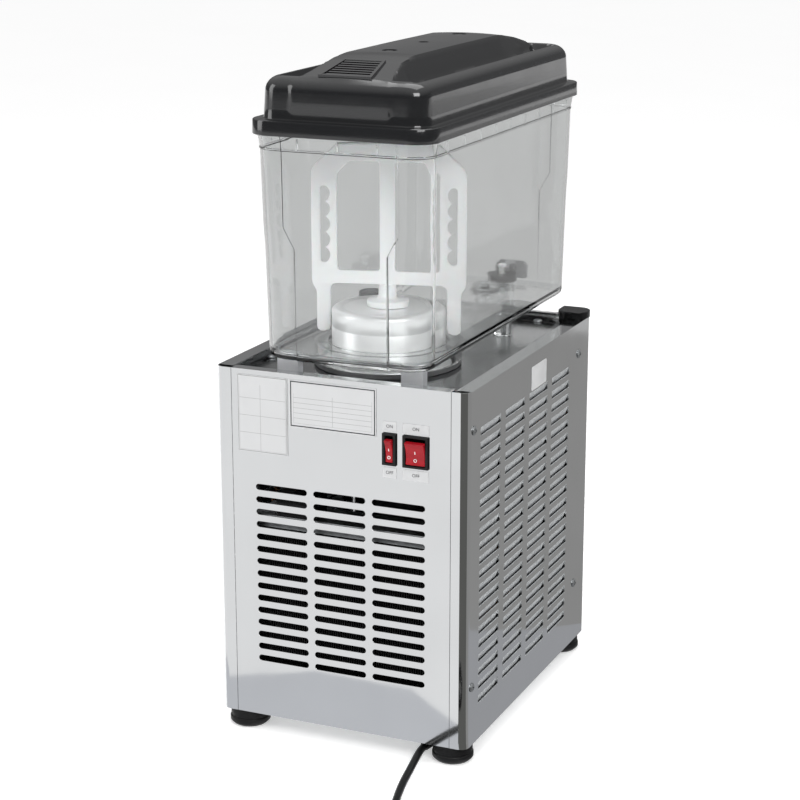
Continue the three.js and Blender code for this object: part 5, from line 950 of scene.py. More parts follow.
class DISPENSER_OT_cabinet(bpy.types.Operator):
    """Dresses the steel cabinet: panels, deck, base, caps, screws and feet"""
    bl_idname = "dispenser.cabinet"
    bl_label = "Cabinet"

    def execute(self, context):
        steel = look("steel")
        for side in ("left", "right"):
            panel = dressed(f"{side}_panel_sheet", [f"side_panel_{side}"], steel, "cabinet",
                            0, 32)
            self.louvres(panel)
            dressed(f"{side}_corner_cap", [f"corner_cap_{side}"], look("gloss_black"), "cabinet",
                    0.0016)
        self.rear_sheet()
        dressed("front_sheet", ["front_panel"], steel, "cabinet", 0, 32)
        dressed("deck_sheet", ["deck"], look("deck"), "cabinet", 0)
        dressed("base_tray", ["base_pan"], look("zinc"), "cabinet", 0)
        self.screws()
        self.feet()
        self.deck_details()
        self.sticker()
        return {"FINISHED"}

    def louvres(self, panel):
        """Draws the free edges of the pressed louvres down close behind the sheet,
        so that only a dark line is left open under each, and gives the louvres and
        their sills, found by height and slope, the duller drawn finish."""
        mesh = panel.data
        points = read(mesh.vertices, "co")
        depth = SIDE - np.abs(points[:, 0])
        along, level = points[:, 1], points[:, 2]
        border = 0.02
        inside = (along < REAR - 0.025) & (along > FRONT + 0.055) & (level < CABINET_TOP - border)
        free = (depth > 0.0045) & (depth < 0.0065) & inside
        points[free, 0] += np.sign(points[free, 0]) * 0.0015
        points[free, 2] -= 0.0024
        mesh.vertices.foreach_set("co", points.ravel())
        mesh.update()
        slope = np.abs(read(mesh.polygons, "normal")[:, 2])
        height = read(mesh.polygons, "center")[:, 2]
        drawn = (slope > 0.2) & (height < CABINET_TOP - border) & (height > CABINET_LOW + border)
        mesh.materials.append(look("louvre"))
        mesh.polygons.foreach_set("material_index", drawn.astype(np.int32))

    def rear_sheet(self):
        """Rear panel: a flat sheet with three columns of round-ended
        slots and two switch openings, and its returns."""
        half = float(high("rear_panel")[0])
        margin, reach_share, radius = 0.0248, 0.444, 0.003
        rows, row_pitch, lowest_row, shift = 15, 0.0125, 0.060, 0.0005
        tall, middle_z = (CABINET_TOP - CABINET_LOW) / 2, (CABINET_TOP + CABINET_LOW) / 2
        loops = [np.array([[-half, -tall], [half, -tall], [half, tall], [-half, tall]])]
        pitch = (half - margin) / (1 + reach_share)
        reach = pitch * reach_share - radius
        slot = np.vstack([arc((reach, 0), radius, -90, 90, 10), arc((-reach, 0), radius, 90, 270, 10)])
        for column in (-1, 0, 1):
            for row in range(rows):
                loops.append(slot + [column * pitch - shift, lowest_row + row * row_pitch - tall])
        for name in ("stirring_switch_housing", "cooling_switch_housing"):
            lo, hi = low(name) + SHEET, high(name) - SHEET
            loops.append(np.array([[-hi[0], lo[2]], [-hi[0], hi[2]], [-lo[0], hi[2]], [-lo[0], lo[2]]])
                         - [0, middle_z])
        turn = moved((0, REAR - SHEET / 2, middle_z)) @ turned(pi, "Z") @ turned(pi / 2, "X")
        face = flat_curve("face", loops, SHEET, 0.00015, turn)
        parts = [mesh_part(face.data)]
        bpy.data.objects.remove(face)
        for side in (-1, 1):
            x = sorted((side * half, side * (half - SHEET)))
            parts.append(box_part(x, (REAR - 0.010, REAR - SHEET), (CABINET_LOW, CABINET_TOP)))
        inside = half - SHEET
        parts.append(box_part((-inside, inside), (REAR - 0.012, REAR - SHEET),
                              (CABINET_TOP - SHEET, CABINET_TOP)))
        rear = mesh_object("rear_sheet", joined(*parts), 32)
        settled_piece(weighted(rear), look("steel"), "cabinet", ["rear_panel"])

    def screws(self):
        """Pan-head screws with a crossed recess: a domed profile turned, and the cross cut from it."""
        dome = np.vstack([[(0, -0.005), (0.0019, -0.005), (0.0019, 0.0), (0.0044, 0.0), (0.0044, 0.0005)],
                          arc((0.0, -0.00255), 0.0050, 38, 90, 8) * [1, 0.86] + [0, 0.0001]])
        dome[-1, 0] = 0
        head = mesh_object("screw_pattern", lathe(dome, 32))
        cross = [mesh_object("cut", box_part((-a, a), (-b, b), (0.0006, 0.004)))
                 for a, b in ((0.0022, 0.00045), (0.00045, 0.0022))]
        combined(head, cross, "DIFFERENCE")
        points, faces = mesh_part(head.data)
        bpy.data.objects.remove(head)
        parts, nodes = [], []
        for name in sorted(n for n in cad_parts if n.startswith("panel_screw")):
            lo, hi = low(name), high(name)
            sign = 1 if lo[0] > 0 else -1
            seat = sign * (max(abs(lo[0]), abs(hi[0])) - 0.0018)
            spin = turned(0.5 + 1.3 * len(nodes), "Z")
            turn = moved((seat, *middle(name)[1:])) @ turned(sign * pi / 2, "Y")
            parts.append(placed((points, faces), turn @ spin))
            nodes.append(name)
        screws = mesh_object("panel_screws", joined(*parts), 30)
        settled_piece(screws, look("zinc"), "cabinet", nodes)

    def feet(self):
        """Rubber feet: a stepped profile with two grooves, turned about each foot's axis."""
        parts, nodes = [], ["foot_rear_left", "foot_rear_right", "foot_front_left", "foot_front_right"]
        profile = np.array([(0, 0.0004), (0.0150, 0.0004), (0.0158, 0), (0.0168, 0.0003), (0.0194, 0.0028),
                            (0.0200, 0.0036), (0.0200, 0.0074), (0.0194, 0.0082), (0.0188, 0.0084),
                            (0.0188, 0.0098), (0.0192, 0.0102), (0.0189, 0.0165), (0.0181, 0.0177),
                            (0, 0.0177)])
        for name in nodes:
            parts.append(lathe(profile, 56, middle(name)[:2]))
        feet = mesh_object("rubber_feet", joined(*parts), 40)
        settled_piece(feet, look("rubber"), "cabinet", nodes)

    def deck_details(self):
        """Screw heads in the deck: low domes turned about upright axes."""
        parts = []
        foot = DECK_TOP + 0.0002
        for x, y in ((-0.112, REAR - 0.083), (0.112, REAR - 0.083), (-0.075, FRONT + 0.012),
                     (0.075, FRONT + 0.012)):
            dome = [(0, foot), (0.0046, foot), (0.0046, foot + 0.0008), (0.0036, foot + 0.0019),
                    (0, foot + 0.0023)]
            parts.append(lathe(dome, 28, (x, y)))
        heads = mesh_object("deck_screws", joined(*parts), 30)
        bevelled(heads, 0.0002, 2)
        settled_piece(heads, look("zinc"), "cabinet", ())

    def sticker(self):
        """Small blank sticker on the side panel: a thin rounded plate."""
        loop = rounded_ring(0.021, 0.012, 0.0015, 0, 0, 4)[:, :2]
        turn = moved((-SIDE - 0.00012, REAR - 0.186, 0.342)) @ turned(-pi / 2, "Z") @ turned(pi / 2, "X")
        plate = flat_curve("side_sticker", [loop], 0.0002, 0.00004, turn)
        settled_piece(plate, look("film"), "cabinet", ())


# Switches and labels

FILM_BACK, FILM_FACE, INK_BACK = REAR + 0.0001, REAR + 0.0003, REAR + 0.00036


class DISPENSER_OT_switches(bpy.types.Operator):
    """Makes the two rocker switches, the label strips and the printed plates"""
    bl_idname = "dispenser.switches"
    bl_label = "Switches and labels"

    def execute(self, context):
        marks_at = {"stirring": (-0.0516, 0.007), "cooling": (-0.078, 0.013)}
        for kind, (x, _) in marks_at.items():
            dressed(f"{kind}_switch_bezel", [f"{kind}_switch_housing"], look("black"), "cabinet",
                    0.0005)
            dressed(f"{kind}_rocker", [f"{kind}_switch_key"], look("red"), f"{kind}_key",
                    0.0006)
            self.marks(kind, x)
        self.strips(marks_at)
        self.plate("rating_print", "rating_plate", (0.0010, 0.0021), 0.0050, 0.5, 0.0042, 0.013)
        self.plate("wiring_print", "wiring_plate", (0.0006, 0.00095), 0.0170, 0.46, 0.0018, 0.009)
        return {"FINISHED"}

    def marks(self, kind, x):
        """A bar and a ring on the rocker's face: flat outlines laid
        on the key's dished front and tilted with it."""
        tilt = radians(11)
        pivot = Vector((x, REAR + CLEARANCE + 0.002 - 0.006, CABINET_TOP - 0.0611))
        angle = np.arange(28) / 28 * 2 * pi
        ring = np.column_stack([np.cos(angle), np.sin(angle)])
        parts = []
        bar = np.array([[-1, -1], [1, -1], [1, 1], [-1, 1]]) * [0.00035, 0.0014]
        dish, reach = 0.0022, 0.011
        for t, loops in ((0.0012, [bar]), (-0.0064, [ring * 0.0016, ring[::-1] * 0.00105])):
            face = 0.006 + dish * (t / reach) ** 2
            slope = np.arctan(2 * dish * t / reach ** 2)
            lift = moved((0, face + 0.00012, t)) @ turned(-slope, "X") @ turned(-pi / 2, "X")
            place = moved(pivot) @ turned(-tilt, "X") @ lift
            parts.append(flat_curve("mark", loops, 0.0002, 0.00003, place))
        whole = joined(*[mesh_part(p.data) for p in parts])
        for p in parts:
            bpy.data.objects.remove(p)
        settled_piece(mesh_object(f"{kind}_marks", whole), look("mark"), f"{kind}_key", ())

    def strips(self, places):
        """Four thin strips over and under the switches, with ON above and OFF below in plain capitals."""
        plates, words = [], []
        for x, half in places.values():
            for z0, z1, text in ((0.324, 0.3336, "ON"), (0.279, 0.2893, "OFF")):
                plates.append(box_part((x - half, x + half), (FILM_BACK, FILM_FACE), (z0, z1)))
                words.append(self.word(text, x, (z0 + z1) / 2))
        strips = mesh_object("switch_strips", joined(*plates))
        settled_piece(strips, look("film"), "cabinet", ())
        letters = mesh_object("switch_words", joined(*words))
        settled_piece(letters, look("ink"), "cabinet", ())

    def word(self, text, x, z):
        """A word as thin flat letters on the rear face, read from behind the machine."""
        data = bpy.data.curves.new("word", "FONT")
        data.body, data.size, data.extrude = text, 0.0044, 0.00004
        data.align_x, data.align_y = "CENTER", "CENTER"
        place = moved((x, INK_BACK, z)) @ turned(pi, "Z") @ turned(pi / 2, "X")
        return mesh_part(curve_mesh(data, place))

    def plate(self, name, cad, border, rows, column, margin, heading):
        """A thin printed plate in the CAD plate's place, with its own map in metres for the ruled lines."""
        lo, hi = low(cad), high(cad)
        thing = mesh_object(name, box_part((lo[0], hi[0]), (FILM_BACK, hi[1]), (lo[2], hi[2])))
        mesh = thing.data
        points, faces = mesh_part(mesh)
        spots = points[np.concatenate(faces)]
        flat = mesh.uv_layers.new(name="print")
        flat.data.foreach_set("uv", np.column_stack([hi[0] - spots[:, 0], spots[:, 2] - lo[2]]).ravel())
        size = mesh.uv_layers.new(name="size")
        size.data.foreach_set("uv", np.tile([hi[0] - lo[0], hi[2] - lo[2]], (len(spots), 1)).ravel())
        settled_piece(thing, printed_look(name + "_film", border, rows, column, margin, heading), "cabinet",
                      [cad])


# Bowl

class DISPENSER_OT_bowl(bpy.types.Operator):
    """Makes the clear bowl with its rim, collar, legs and tabs"""
    bl_idname = "dispenser.bowl"
    bl_label = "Bowl"

    def execute(self, context):
        s = context.scene.dispenser_bowl
        body = mesh_object("clear_bowl", self.shell(s), 28)
        low_edge, sunk = BOWL_LOW - 0.0136, BOWL_LOW + 0.002
        section = [(0.067, low_edge), (0.072, low_edge), (0.072, sunk), (0.067, sunk)]
        collar = mesh_object("collar", ring_lathe(section, 72, (0, DRUM_Y)))
        others, tabs = [collar], []
        for side in (-1, 1):
            foot = [(0, DECK_TOP + CLEARANCE), (0.0082, DECK_TOP + CLEARANCE), (0.009, DECK_TOP + 0.0012),
                    (0.009, sunk), (0, sunk)]
            others.append(mesh_object("leg", lathe(foot, 32, (side * 0.062, DRUM_Y - 0.148))))
            rear = MIDDLE_Y + s.half_length - s.end_draft - 0.015
            tabs.append(box_part((side * 0.064 - 0.011, side * 0.064 + 0.011), (rear - 0.012, rear),
                                 (DECK_TOP + CLEARANCE, BOWL_LOW - 0.0001)))
        inlet = float(middle("tap_washer")[1])
        hole = mesh_object("hole", lathe([(0, BOWL_LOW - 0.01), (0.0093, BOWL_LOW - 0.01),
                                          (0.0093, BOWL_LOW + 0.01), (0, BOWL_LOW + 0.01)], 32, (0, inlet)))
        combined(body, others, "UNION")
        combined(body, [hole], "DIFFERENCE")
        settle(body.data, 28)
        weighted(body)
        settled_piece(body, clear_look(), "bowl", ["bowl"])
        ends = mesh_object("bowl_tabs", joined(*tabs))
        bevelled(ends, 0.0009, 3)
        settled_piece(ends, look("frosted"), "bowl", ())
        self.ribs(s)
        return {"FINISHED"}

    def shell(self, s):
        """Bowl wall: rounded rectangles carried up outside, over the rim and down inside,
        then across the floor to the round opening on both faces; each opening point lies
        on the line from the drum's axis to the wall's point. In both end walls the middle
        points stand proud of the rest, as a panel that is narrower below the jog."""
        height = BOWL_TOP - RIM_HEIGHT - BOWL_LOW
        edge = 0.007
        corner_steps, side_run, end_run = 12, 16, 8
        across = np.array([1.008, 0.992, 0.5, 0, -0.5, -0.992, -1.008])
        raised = np.array([0, 1, 1, 1, 1, 1, 0])
        half_turn = 2 * (corner_steps + 1) + side_run - 1 + end_run - 1
        rear_wall = half_turn - (end_run - 1)
        walls = ((rear_wall, 1), (rear_wall + half_turn, -1))

        def ring(level, corner, grow, z=None):
            share = (height - min(level, height)) / height
            half_x = s.half_width - s.side_draft * share + grow
            half_y = s.half_length - s.end_draft * share + grow
            z = BOWL_LOW + level if z is None else z
            flat = rounded_ring(half_x, half_y, corner + grow, z, MIDDLE_Y, corner_steps, (side_run, end_run))
            panel = s.panel_low + (s.panel_high - s.panel_low) * np.clip((level - s.jog) / 0.020, 0, 1)
            proud = 0.0006 + 0.0020 * np.clip(1 - level / s.jog, 0, 1)
            for first, sign in walls:
                wall = slice(first, first + len(across))
                flat[wall, 0] = sign * panel * across
                flat[wall, 1] += sign * proud * raised
            return flat

        def side_rings(inset, foot):
            jog = s.jog
            wide, tight = s.low_corner, s.top_corner
            turns = np.linspace(0, pi / 2, 6)
            steps = [(foot + edge * (1 - cos(a)), wide, -edge * (1 - sin(a))) for a in turns]
            steps += [(jog, wide, 0), (jog + 0.005, wide - 0.0006, 0), (jog + 0.015, tight + 0.0006, 0),
                      (jog + 0.020, tight, 0), (height - 0.0016, tight, 0), (height - 0.0010, tight, 0.0007),
                      (height + 0.0002, tight, 0.0008), (height + 0.0008, tight, 0.0002),
                      (height + 0.010, tight, s.rim_flare - 0.0004), (height + 0.012, tight, s.rim_flare)]
            return [ring(level, corner, grow - inset) for level, corner, grow in steps]

        outer = side_rings(0, 0)
        inner = side_rings(s.wall, s.floor)
        lip = ((0, 0.0008), (0.0003, 0.0002), (0.001, 0.0))
        rim = [ring(height, s.top_corner, s.rim_flare - c, BOWL_TOP - d) for c, d in lip]
        rim += [ring(height, s.top_corner, s.rim_flare - s.wall + c, BOWL_TOP - d) for c, d in lip[::-1]]

        def opening(wall, z):
            spread = wall[:, :2] - [0, DRUM_Y]
            spread = spread / np.linalg.norm(spread, axis=1, keepdims=True) * s.opening
            return np.column_stack([spread[:, 0], spread[:, 1] + DRUM_Y, np.full(len(wall), z)])

        under, over = opening(outer[0], BOWL_LOW), opening(inner[0], BOWL_LOW + s.floor)
        return loft([under, *outer, *rim, *inner[::-1], over], close=True)

    def ribs(self, s):
        """Small upright ribs round the rim: low rounded bars at an
        even spacing along the rim's straight sides."""
        parts = []
        half, sunk, proud = 0.0008, 0.0004, 0.0011
        spacing = 0.040
        levels = (BOWL_TOP - 0.0185, BOWL_TOP - 0.008)
        x = s.half_width + s.rim_flare
        y = s.half_length + s.rim_flare
        for along in np.arange(-4, 5) * spacing:
            for side in (-1, 1):
                depth = sorted((side * (x - sunk), side * (x + proud)))
                parts.append(box_part(depth, (MIDDLE_Y + along - half, MIDDLE_Y + along + half), levels))
        for along in np.arange(-1, 2) * spacing:
            for side in (-1, 1):
                depth = sorted((MIDDLE_Y + side * (y - sunk), MIDDLE_Y + side * (y + proud)))
                parts.append(box_part((along - half, along + half), depth, levels))
        ribs = mesh_object("rim_ribs", joined(*parts))
        bevelled(ribs, 0.0004, 2)
        settled_piece(ribs, clear_look(), "bowl", ())


# Lid

HUMP_V = np.array([0.005, 0.012, 0.016, 0.025, 0.065, 0.085, 0.100, 0.203, 0.308, 0.321, 0.356, 0.376, 0.389,
                   0.401])
HUMP_H = np.array([-0.012, -0.0040, 0.0008, 0.0022, 0.0122, 0.0150, 0.0160, 0.0162, 0.0158, 0.0150, 0.0100,
                   0.0048, -0.0004, -0.012])
HUMP_W_V = np.array([0.0, 0.018, 0.065, 0.100, 0.321, 0.356, 0.389, 0.414])
HUMP_W = np.array([0.046, 0.046, 0.0365, 0.035, 0.035, 0.036, 0.044, 0.045])


def hump_height(v):
    """Height of the hump's top above the ledge at a distance
    from the lid's rear edge, with its bends eased."""
    spread = np.linspace(-0.004, 0.004, 9)
    return np.mean([np.interp(v + d, HUMP_V, HUMP_H) for d in spread], axis=0)


def lid_top(x, v, ledge, s):
    """Height of the lid's upper face: the ledge, two sunk valleys,
    and a hump with sloping sides joined by a soft maximum."""
    side = np.abs(x)
    length_in = np.minimum(v - 0.025, 0.389 - v)
    sunk = eased(side, 0.040, 0.046) * (1 - eased(side, 0.0665, 0.0710)) * eased(length_in, -0.002, 0.005)
    base = ledge - s.valley * sunk
    width = np.interp(v, HUMP_W_V, HUMP_W)
    crown = ledge + hump_height(v) - 0.0012 * (side / 0.035) ** 2
    slope = crown - np.maximum(side - width, 0) * 1.95
    gap = slope - base
    height = base + 0.5 * (gap + np.sqrt(gap ** 2 + 0.0012 ** 2))
    grille = 1 - eased(side, grille_half(v) - 0.0034, grille_half(v) - 0.0026)
    grille *= eased(v, 0.0222, 0.0230) * (1 - eased(v, 0.0624, 0.0632))
    return height - 0.0040 * grille


def grille_half(v):
    """Half width of the grille at a distance from the lid's rear edge."""
    return 0.0265 - 0.0055 * np.clip((v - 0.020) / 0.045, 0, 1)


class DISPENSER_OT_lid(bpy.types.Operator):
    """Makes the lid with its hump, valleys and holes, and the vent grille"""
    bl_idname = "dispenser.lid"
    bl_label = "Lid"

    def execute(self, context):
        s = context.scene.dispenser_lid
        lid = mesh_object("lid_shell", self.surface(s), 30, turn_out=False)
        wall = lid.modifiers.new("wall", "SOLIDIFY")
        wall.thickness, wall.offset, wall.use_even_offset = s.wall, -1, False
        baked(lid, 30)
        holes = []
        for v, radius in ((0.1205, 0.0075), (0.2024, 0.0050), (0.2945, 0.0075)):
            top = LID_LOW + s.skirt + SHELL_HEIGHT + s.hump
            dimple = [(0, top - 0.0018), (radius - 0.0006, top - 0.0018), (radius, top - 0.0012),
                      (radius, top + 0.004), (0, top + 0.004)]
            holes.append(mesh_object("hole", lathe(dimple, 40, (0, LID_REAR - v))))
        combined(lid, holes, "DIFFERENCE")
        settle(lid.data, 30)
        settled_piece(lid, look("lid"), "lid", ["lid"])
        self.grille(s)
        return {"FINISHED"}

    def surface(self, s):
        """Lid skin: rounded rectangles up the skirt, in over the shoulder, up
        the shell and round its edge, then drawn in ring by ring to the middle
        line, where each point's height comes from the lid's height function."""
        half_x, half_y = s.half_width, (LID_REAR - LID_FRONT) / 2
        top = LID_LOW + s.skirt
        ledge = top + SHELL_HEIGHT
        runs = (150, 60)

        def ring(inset, z, corner):
            return rounded_ring(half_x - inset, half_y - inset, corner, z, MIDDLE_Y, 14, runs)

        rings = [ring(0.0004, LID_LOW, s.corner), ring(0, LID_LOW + 0.0006, s.corner),
                 ring(0.0002, top - 0.0012, s.corner), ring(0.0005, top - 0.0004, s.corner),
                 ring(0.0012, top, s.corner - 0.001)]
        fillet = s.shoulder
        upright = s.corner - fillet / 2
        rings += [ring(fillet - 0.0014, top + 0.0001, upright + 0.001),
                  ring(fillet - 0.0004, top + 0.0005, upright + 0.0004), ring(fillet, top + 0.0016, upright)]
        wall_top = ledge - s.edge
        lean = 0.0012
        rings += [ring(fillet + lean * t, top + 0.0016 + (wall_top - top - 0.0016) * t, upright)
                  for t in (0.33, 0.66, 1.0)]
        start = fillet + lean
        far = start + s.edge
        steps = [(start + s.edge * (1 - cos(a)), s.edge * (1 - sin(a)))
                 for a in np.linspace(0, pi / 2, 11)[1:]]
        steps += [(inset, 0) for inset in far + (half_x - far) * np.linspace(0, 1, 52)[1:]]
        for inset, fall in steps:
            flat = ring(inset, 0, max(upright * (1 - (inset - start) / 0.030), 0.0002))
            v = LID_REAR - flat[:, 1]
            flat[:, 2] = lid_top(flat[:, 0], v, ledge, s) - fall
            rings.append(flat)
        rings = np.array(rings)
        x, y, z = rings[:, :, 0], rings[:, :, 1], rings[:, :, 2]
        band = (1 - eased(np.abs(x), 0.0485, 0.0515)) * eased(z, top + 0.002, top + 0.006)
        band *= (1 - eased(z, ledge - 0.004, ledge - 0.001)) * (y > LID_REAR - 0.019)
        rings[:, :, 1] += 0.0012 * band
        rows, columns = rings.shape[:2]
        return rings.reshape(-1, 3), grid_quads(rows, columns, wrap=True).tolist()

    def grille(self, s):
        """Vent grille: a tapered frame and level slats, laid on the
        hump's rear slope by the hump's height function."""
        ledge = LID_LOW + s.skirt + SHELL_HEIGHT
        parts = []

        def bar(x0, x1, v0, v1, low_by, high_by, lean=0.0):
            """One bar between two v and two x, given along v as a tapered strip."""
            v = np.array([v0, v1, v1, v0])
            x = np.array([x0[0], x0[1], x1[1], x1[0]])
            levels = []
            for lift, shift in ((low_by, lean), (high_by, 0.0)):
                z = ledge + hump_height(v) + lift
                levels.append(np.column_stack([x, LID_REAR - v - shift, z]))
            parts.append(loft(levels))

        half = [float(grille_half(v)) for v in (0.020, 0.0235, 0.0615, 0.065)]
        bar((-half[0], -half[1]), (half[0], half[1]), 0.0202, 0.0235, -0.003, 0.0012)
        bar((-half[2], -half[3]), (half[2], half[3]), 0.0615, 0.0650, -0.003, 0.0012)
        for side in (-1, 1):
            outer = (side * half[0], side * half[3])
            inner = (side * (half[0] - 0.003), side * (half[3] - 0.003))
            bar(*((inner, outer) if side > 0 else (outer, inner)), 0.0202, 0.0650, -0.003, 0.0012)
        pitch = 0.038 / s.slats
        for k in range(s.slats):
            v = 0.0235 + (k + 0.5) * pitch
            reach = float(grille_half(v)) - 0.0022
            bar((-reach, -reach), (reach, reach), v - 0.0013, v + 0.0013, -0.0026, 0.0006, 0.0016)
        grille = mesh_object("grille_slats", joined(*parts))
        bevelled(grille, 0.0003, 2)
        settled_piece(grille, look("lid"), "lid", ["vent_grille"])


# Paddle and drum

class DISPENSER_OT_paddle(bpy.types.Operator):
    """Makes the stirring paddle with its hub, and the cooling drum"""
    bl_idname = "dispenser.paddle"
    bl_label = "Paddle and drum"

    def execute(self, context):
        s = context.scene.dispenser_paddle
        top = BOWL_TOP - 0.025
        base = CABINET_TOP
        half = np.vstack([arc((0.0498, base + 0.062), 0.006, 90, 0, 5),
                          [(0.0558, base + 0.027), (0.0573, base + 0.0218), (0.0613, base + 0.020),
                           (0.0655, base + 0.020), (0.0686, base + 0.0222), (0.0692, base + 0.0245),
                           (0.0692, base + 0.0580), (0.0695, base + 0.0605), (0.0728, base + 0.0660),
                           (0.0737, base + 0.0690), (s.outer, base + 0.0725)],
                          arc((s.outer - 0.012, top - 0.0300), 0.012, 0, 45, 6),
                          [(s.outer - 0.0245, top - 0.0007), (s.outer - 0.0265, top)]])
        outline = np.vstack([half, (half * [-1, 1])[::-1]])
        loops = [outline]
        for side in (-1, 1):
            window = np.vstack([arc((0.0104, base + 0.084), 0.003, 180, 270, 4),
                                arc((0.0458, base + 0.084), 0.003, 270, 360, 4),
                                [(0.0488, top - 0.0305), (0.0480, top - 0.0283), (0.0385, top - 0.0180),
                                 (0.0360, top - 0.017)], arc((0.0104, top - 0.020), 0.003, 90, 180, 4)])
            loops.append(window * [side, 1])
            z = np.linspace(base + 0.088, top - 0.041, s.waves * 12 + 1)
            bay = np.abs(np.sin((z - z[0]) / (z[-1] - z[0]) * s.waves * pi)) ** 0.7 * 0.0046
            inner = np.column_stack([0.0603 - bay, z])
            slot = np.vstack([inner, arc((0.0623, z[-1] - 0.003), 0.003, 80, 0, 4),
                              arc((0.0623, z[0] + 0.003), 0.003, 0, -80, 4)])
            loops.append(slot * [side, 1])
        turn = moved((0, DRUM_Y, 0)) @ turned(s.turn, "Z") @ turned(pi / 2, "X")
        plate = flat_curve("paddle_plate", loops, s.thickness, 0.0008, turn)
        settled_piece(plate, look("white"), "paddle", ["stirring_paddle"])
        self.hub(base)
        self.drum()
        dressed("drum_gasket", ["bowl_seal"], look("seal"), "cabinet", 0.0006)
        dressed("drum_coil", ["evaporator_coil"], look("copper"), "cabinet", 0.0006)
        dressed("magnet_disc", ["drive_magnet"], look("zinc"), "magnet", 0.0006)
        dressed("stirring_motor_can", ["stirring_motor"], look("painted"), "cabinet", 0.001)
        return {"FINISHED"}

    def hub(self, base):
        """Hub under the paddle: a disc with a rounded edge and a
        neck, turned about the drum's axis, open for the pin."""
        foot = DRUM_TOP + 0.0006
        profile = np.vstack([[(0.0046, foot), (0.0192, foot)],
                             arc((0.0192, foot + 0.0008), 0.0008, -80, 0, 3),
                             arc((0.0184, foot + 0.0046), 0.0016, 0, 80, 4),
                             [(0.0120, foot + 0.0064), (0.0096, foot + 0.0078), (0.0088, foot + 0.0100),
                              (0.0084, base + 0.066),
                             (0.0076, base + 0.0685), (0, base + 0.069), (0, DRUM_TOP + 0.0106),
                              (0.0046, DRUM_TOP + 0.0106), (0.0046, foot)]])
        hub = mesh_object("paddle_hub", lathe(profile, 56, (0, DRUM_Y)), 40)
        settled_piece(hub, look("white"), "paddle", ())

    def drum(self):
        """Cooling drum: a pressed can with a rounded edge, a
        shallow ring pressed into its top, a pin and a flange."""
        seat = DECK_TOP + CLEARANCE
        t = DRUM_TOP
        profile = np.vstack([[(0, t - 0.0015), (0.0525, t - 0.0015), (0.0525, seat), (0.0618, seat),
                              (0.062, seat + 0.0004), (0.0618, seat + 0.0015), (0.0552, seat + 0.0015),
                              (0.0543, seat + 0.0019), (0.054, seat + 0.003), (0.054, t - 0.019),
                              (0.0537, t - 0.0185), (0.0537, t - 0.0175), (0.054, t - 0.017)],
                             arc((0.049, t - 0.005), 0.005, 0, 90, 10),
                             [(0.0445, t), (0.0437, t - 0.0004), (0.0425, t - 0.0009), (0.0405, t - 0.0009),
                              (0.0395, t - 0.0004), (0.0385, t), (0.0046, t), (0.0040, t + 0.0006),
                              (0.0040, t + 0.0092), (0.0034, t + 0.0098), (0, t + 0.010)]])
        drum = mesh_object("cooling_drum", lathe(profile, 96, (0, DRUM_Y)), 38)
        settled_piece(drum, look("drum"), "cabinet", ["evaporator_drum"])


# Tap, tray and cooling unit

class DISPENSER_OT_tap(bpy.types.Operator):
    """Dresses the tap with its lever, and the drip tray with its grate"""
    bl_idname = "dispenser.tap"
    bl_label = "Tap and drip tray"

    def execute(self, context):
        black = look("gloss_black")
        dressed("tap_barrel", ["tap_body"], clear_look(), "bowl", 0.0006)
        dressed("tap_lock_nut", ["tap_nut"], clear_look(), "bowl", 0.0006)
        dressed("tap_gasket", ["tap_washer"], look("rubber"), "bowl", 0.0003)
        dressed("tap_top", ["tap_cap"], black, "bowl", 0.0005)
        dressed("lever_axle", ["lever_pin"], look("zinc"), "bowl", 0.0003)
        dressed("tap_handle", ["tap_lever"], look("handle"), "tap_lever", 0.0006)
        dressed("tap_plunger", ["tap_piston"], look("white"), "tap_piston", 0.0004)
        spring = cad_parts["tap_spring"]
        spring.data.materials.clear()
        spring.data.materials.append(look("zinc"))
        dressed("drip_tray_tub", ["drip_tray"], look("black"), "tray", 0.0008)
        self.grate()
        dressed("tray_bracket", ["tray_shelf"], look("deck"), "cabinet", 0.0004)
        return {"FINISHED"}

    def grate(self):
        """Drip grate: a flat steel plate with round corners and
        eight long round-ended slots from front to back."""
        half = (high("drip_grid") - low("drip_grid")) / 2
        corner, border, slots, radius = 0.0112, 0.0087, 8, 0.00275
        pitch, reach = 2 * (half[0] - border) / slots, half[1] - border - radius
        slot = np.vstack([arc((0, reach), radius, 0, 180, 10), arc((0, -reach), radius, 180, 360, 10)])
        loops = [rounded_ring(half[0], half[1], corner, 0)[:, :2]]
        loops += [slot + [(k - (slots - 1) / 2) * pitch, 0] for k in range(slots)]
        plate = flat_curve("drip_grate", loops, float(2 * half[2]), 0.0003, moved(middle("drip_grid")))
        settled_piece(weighted(plate), look("steel"), "grid", ["drip_grid"])


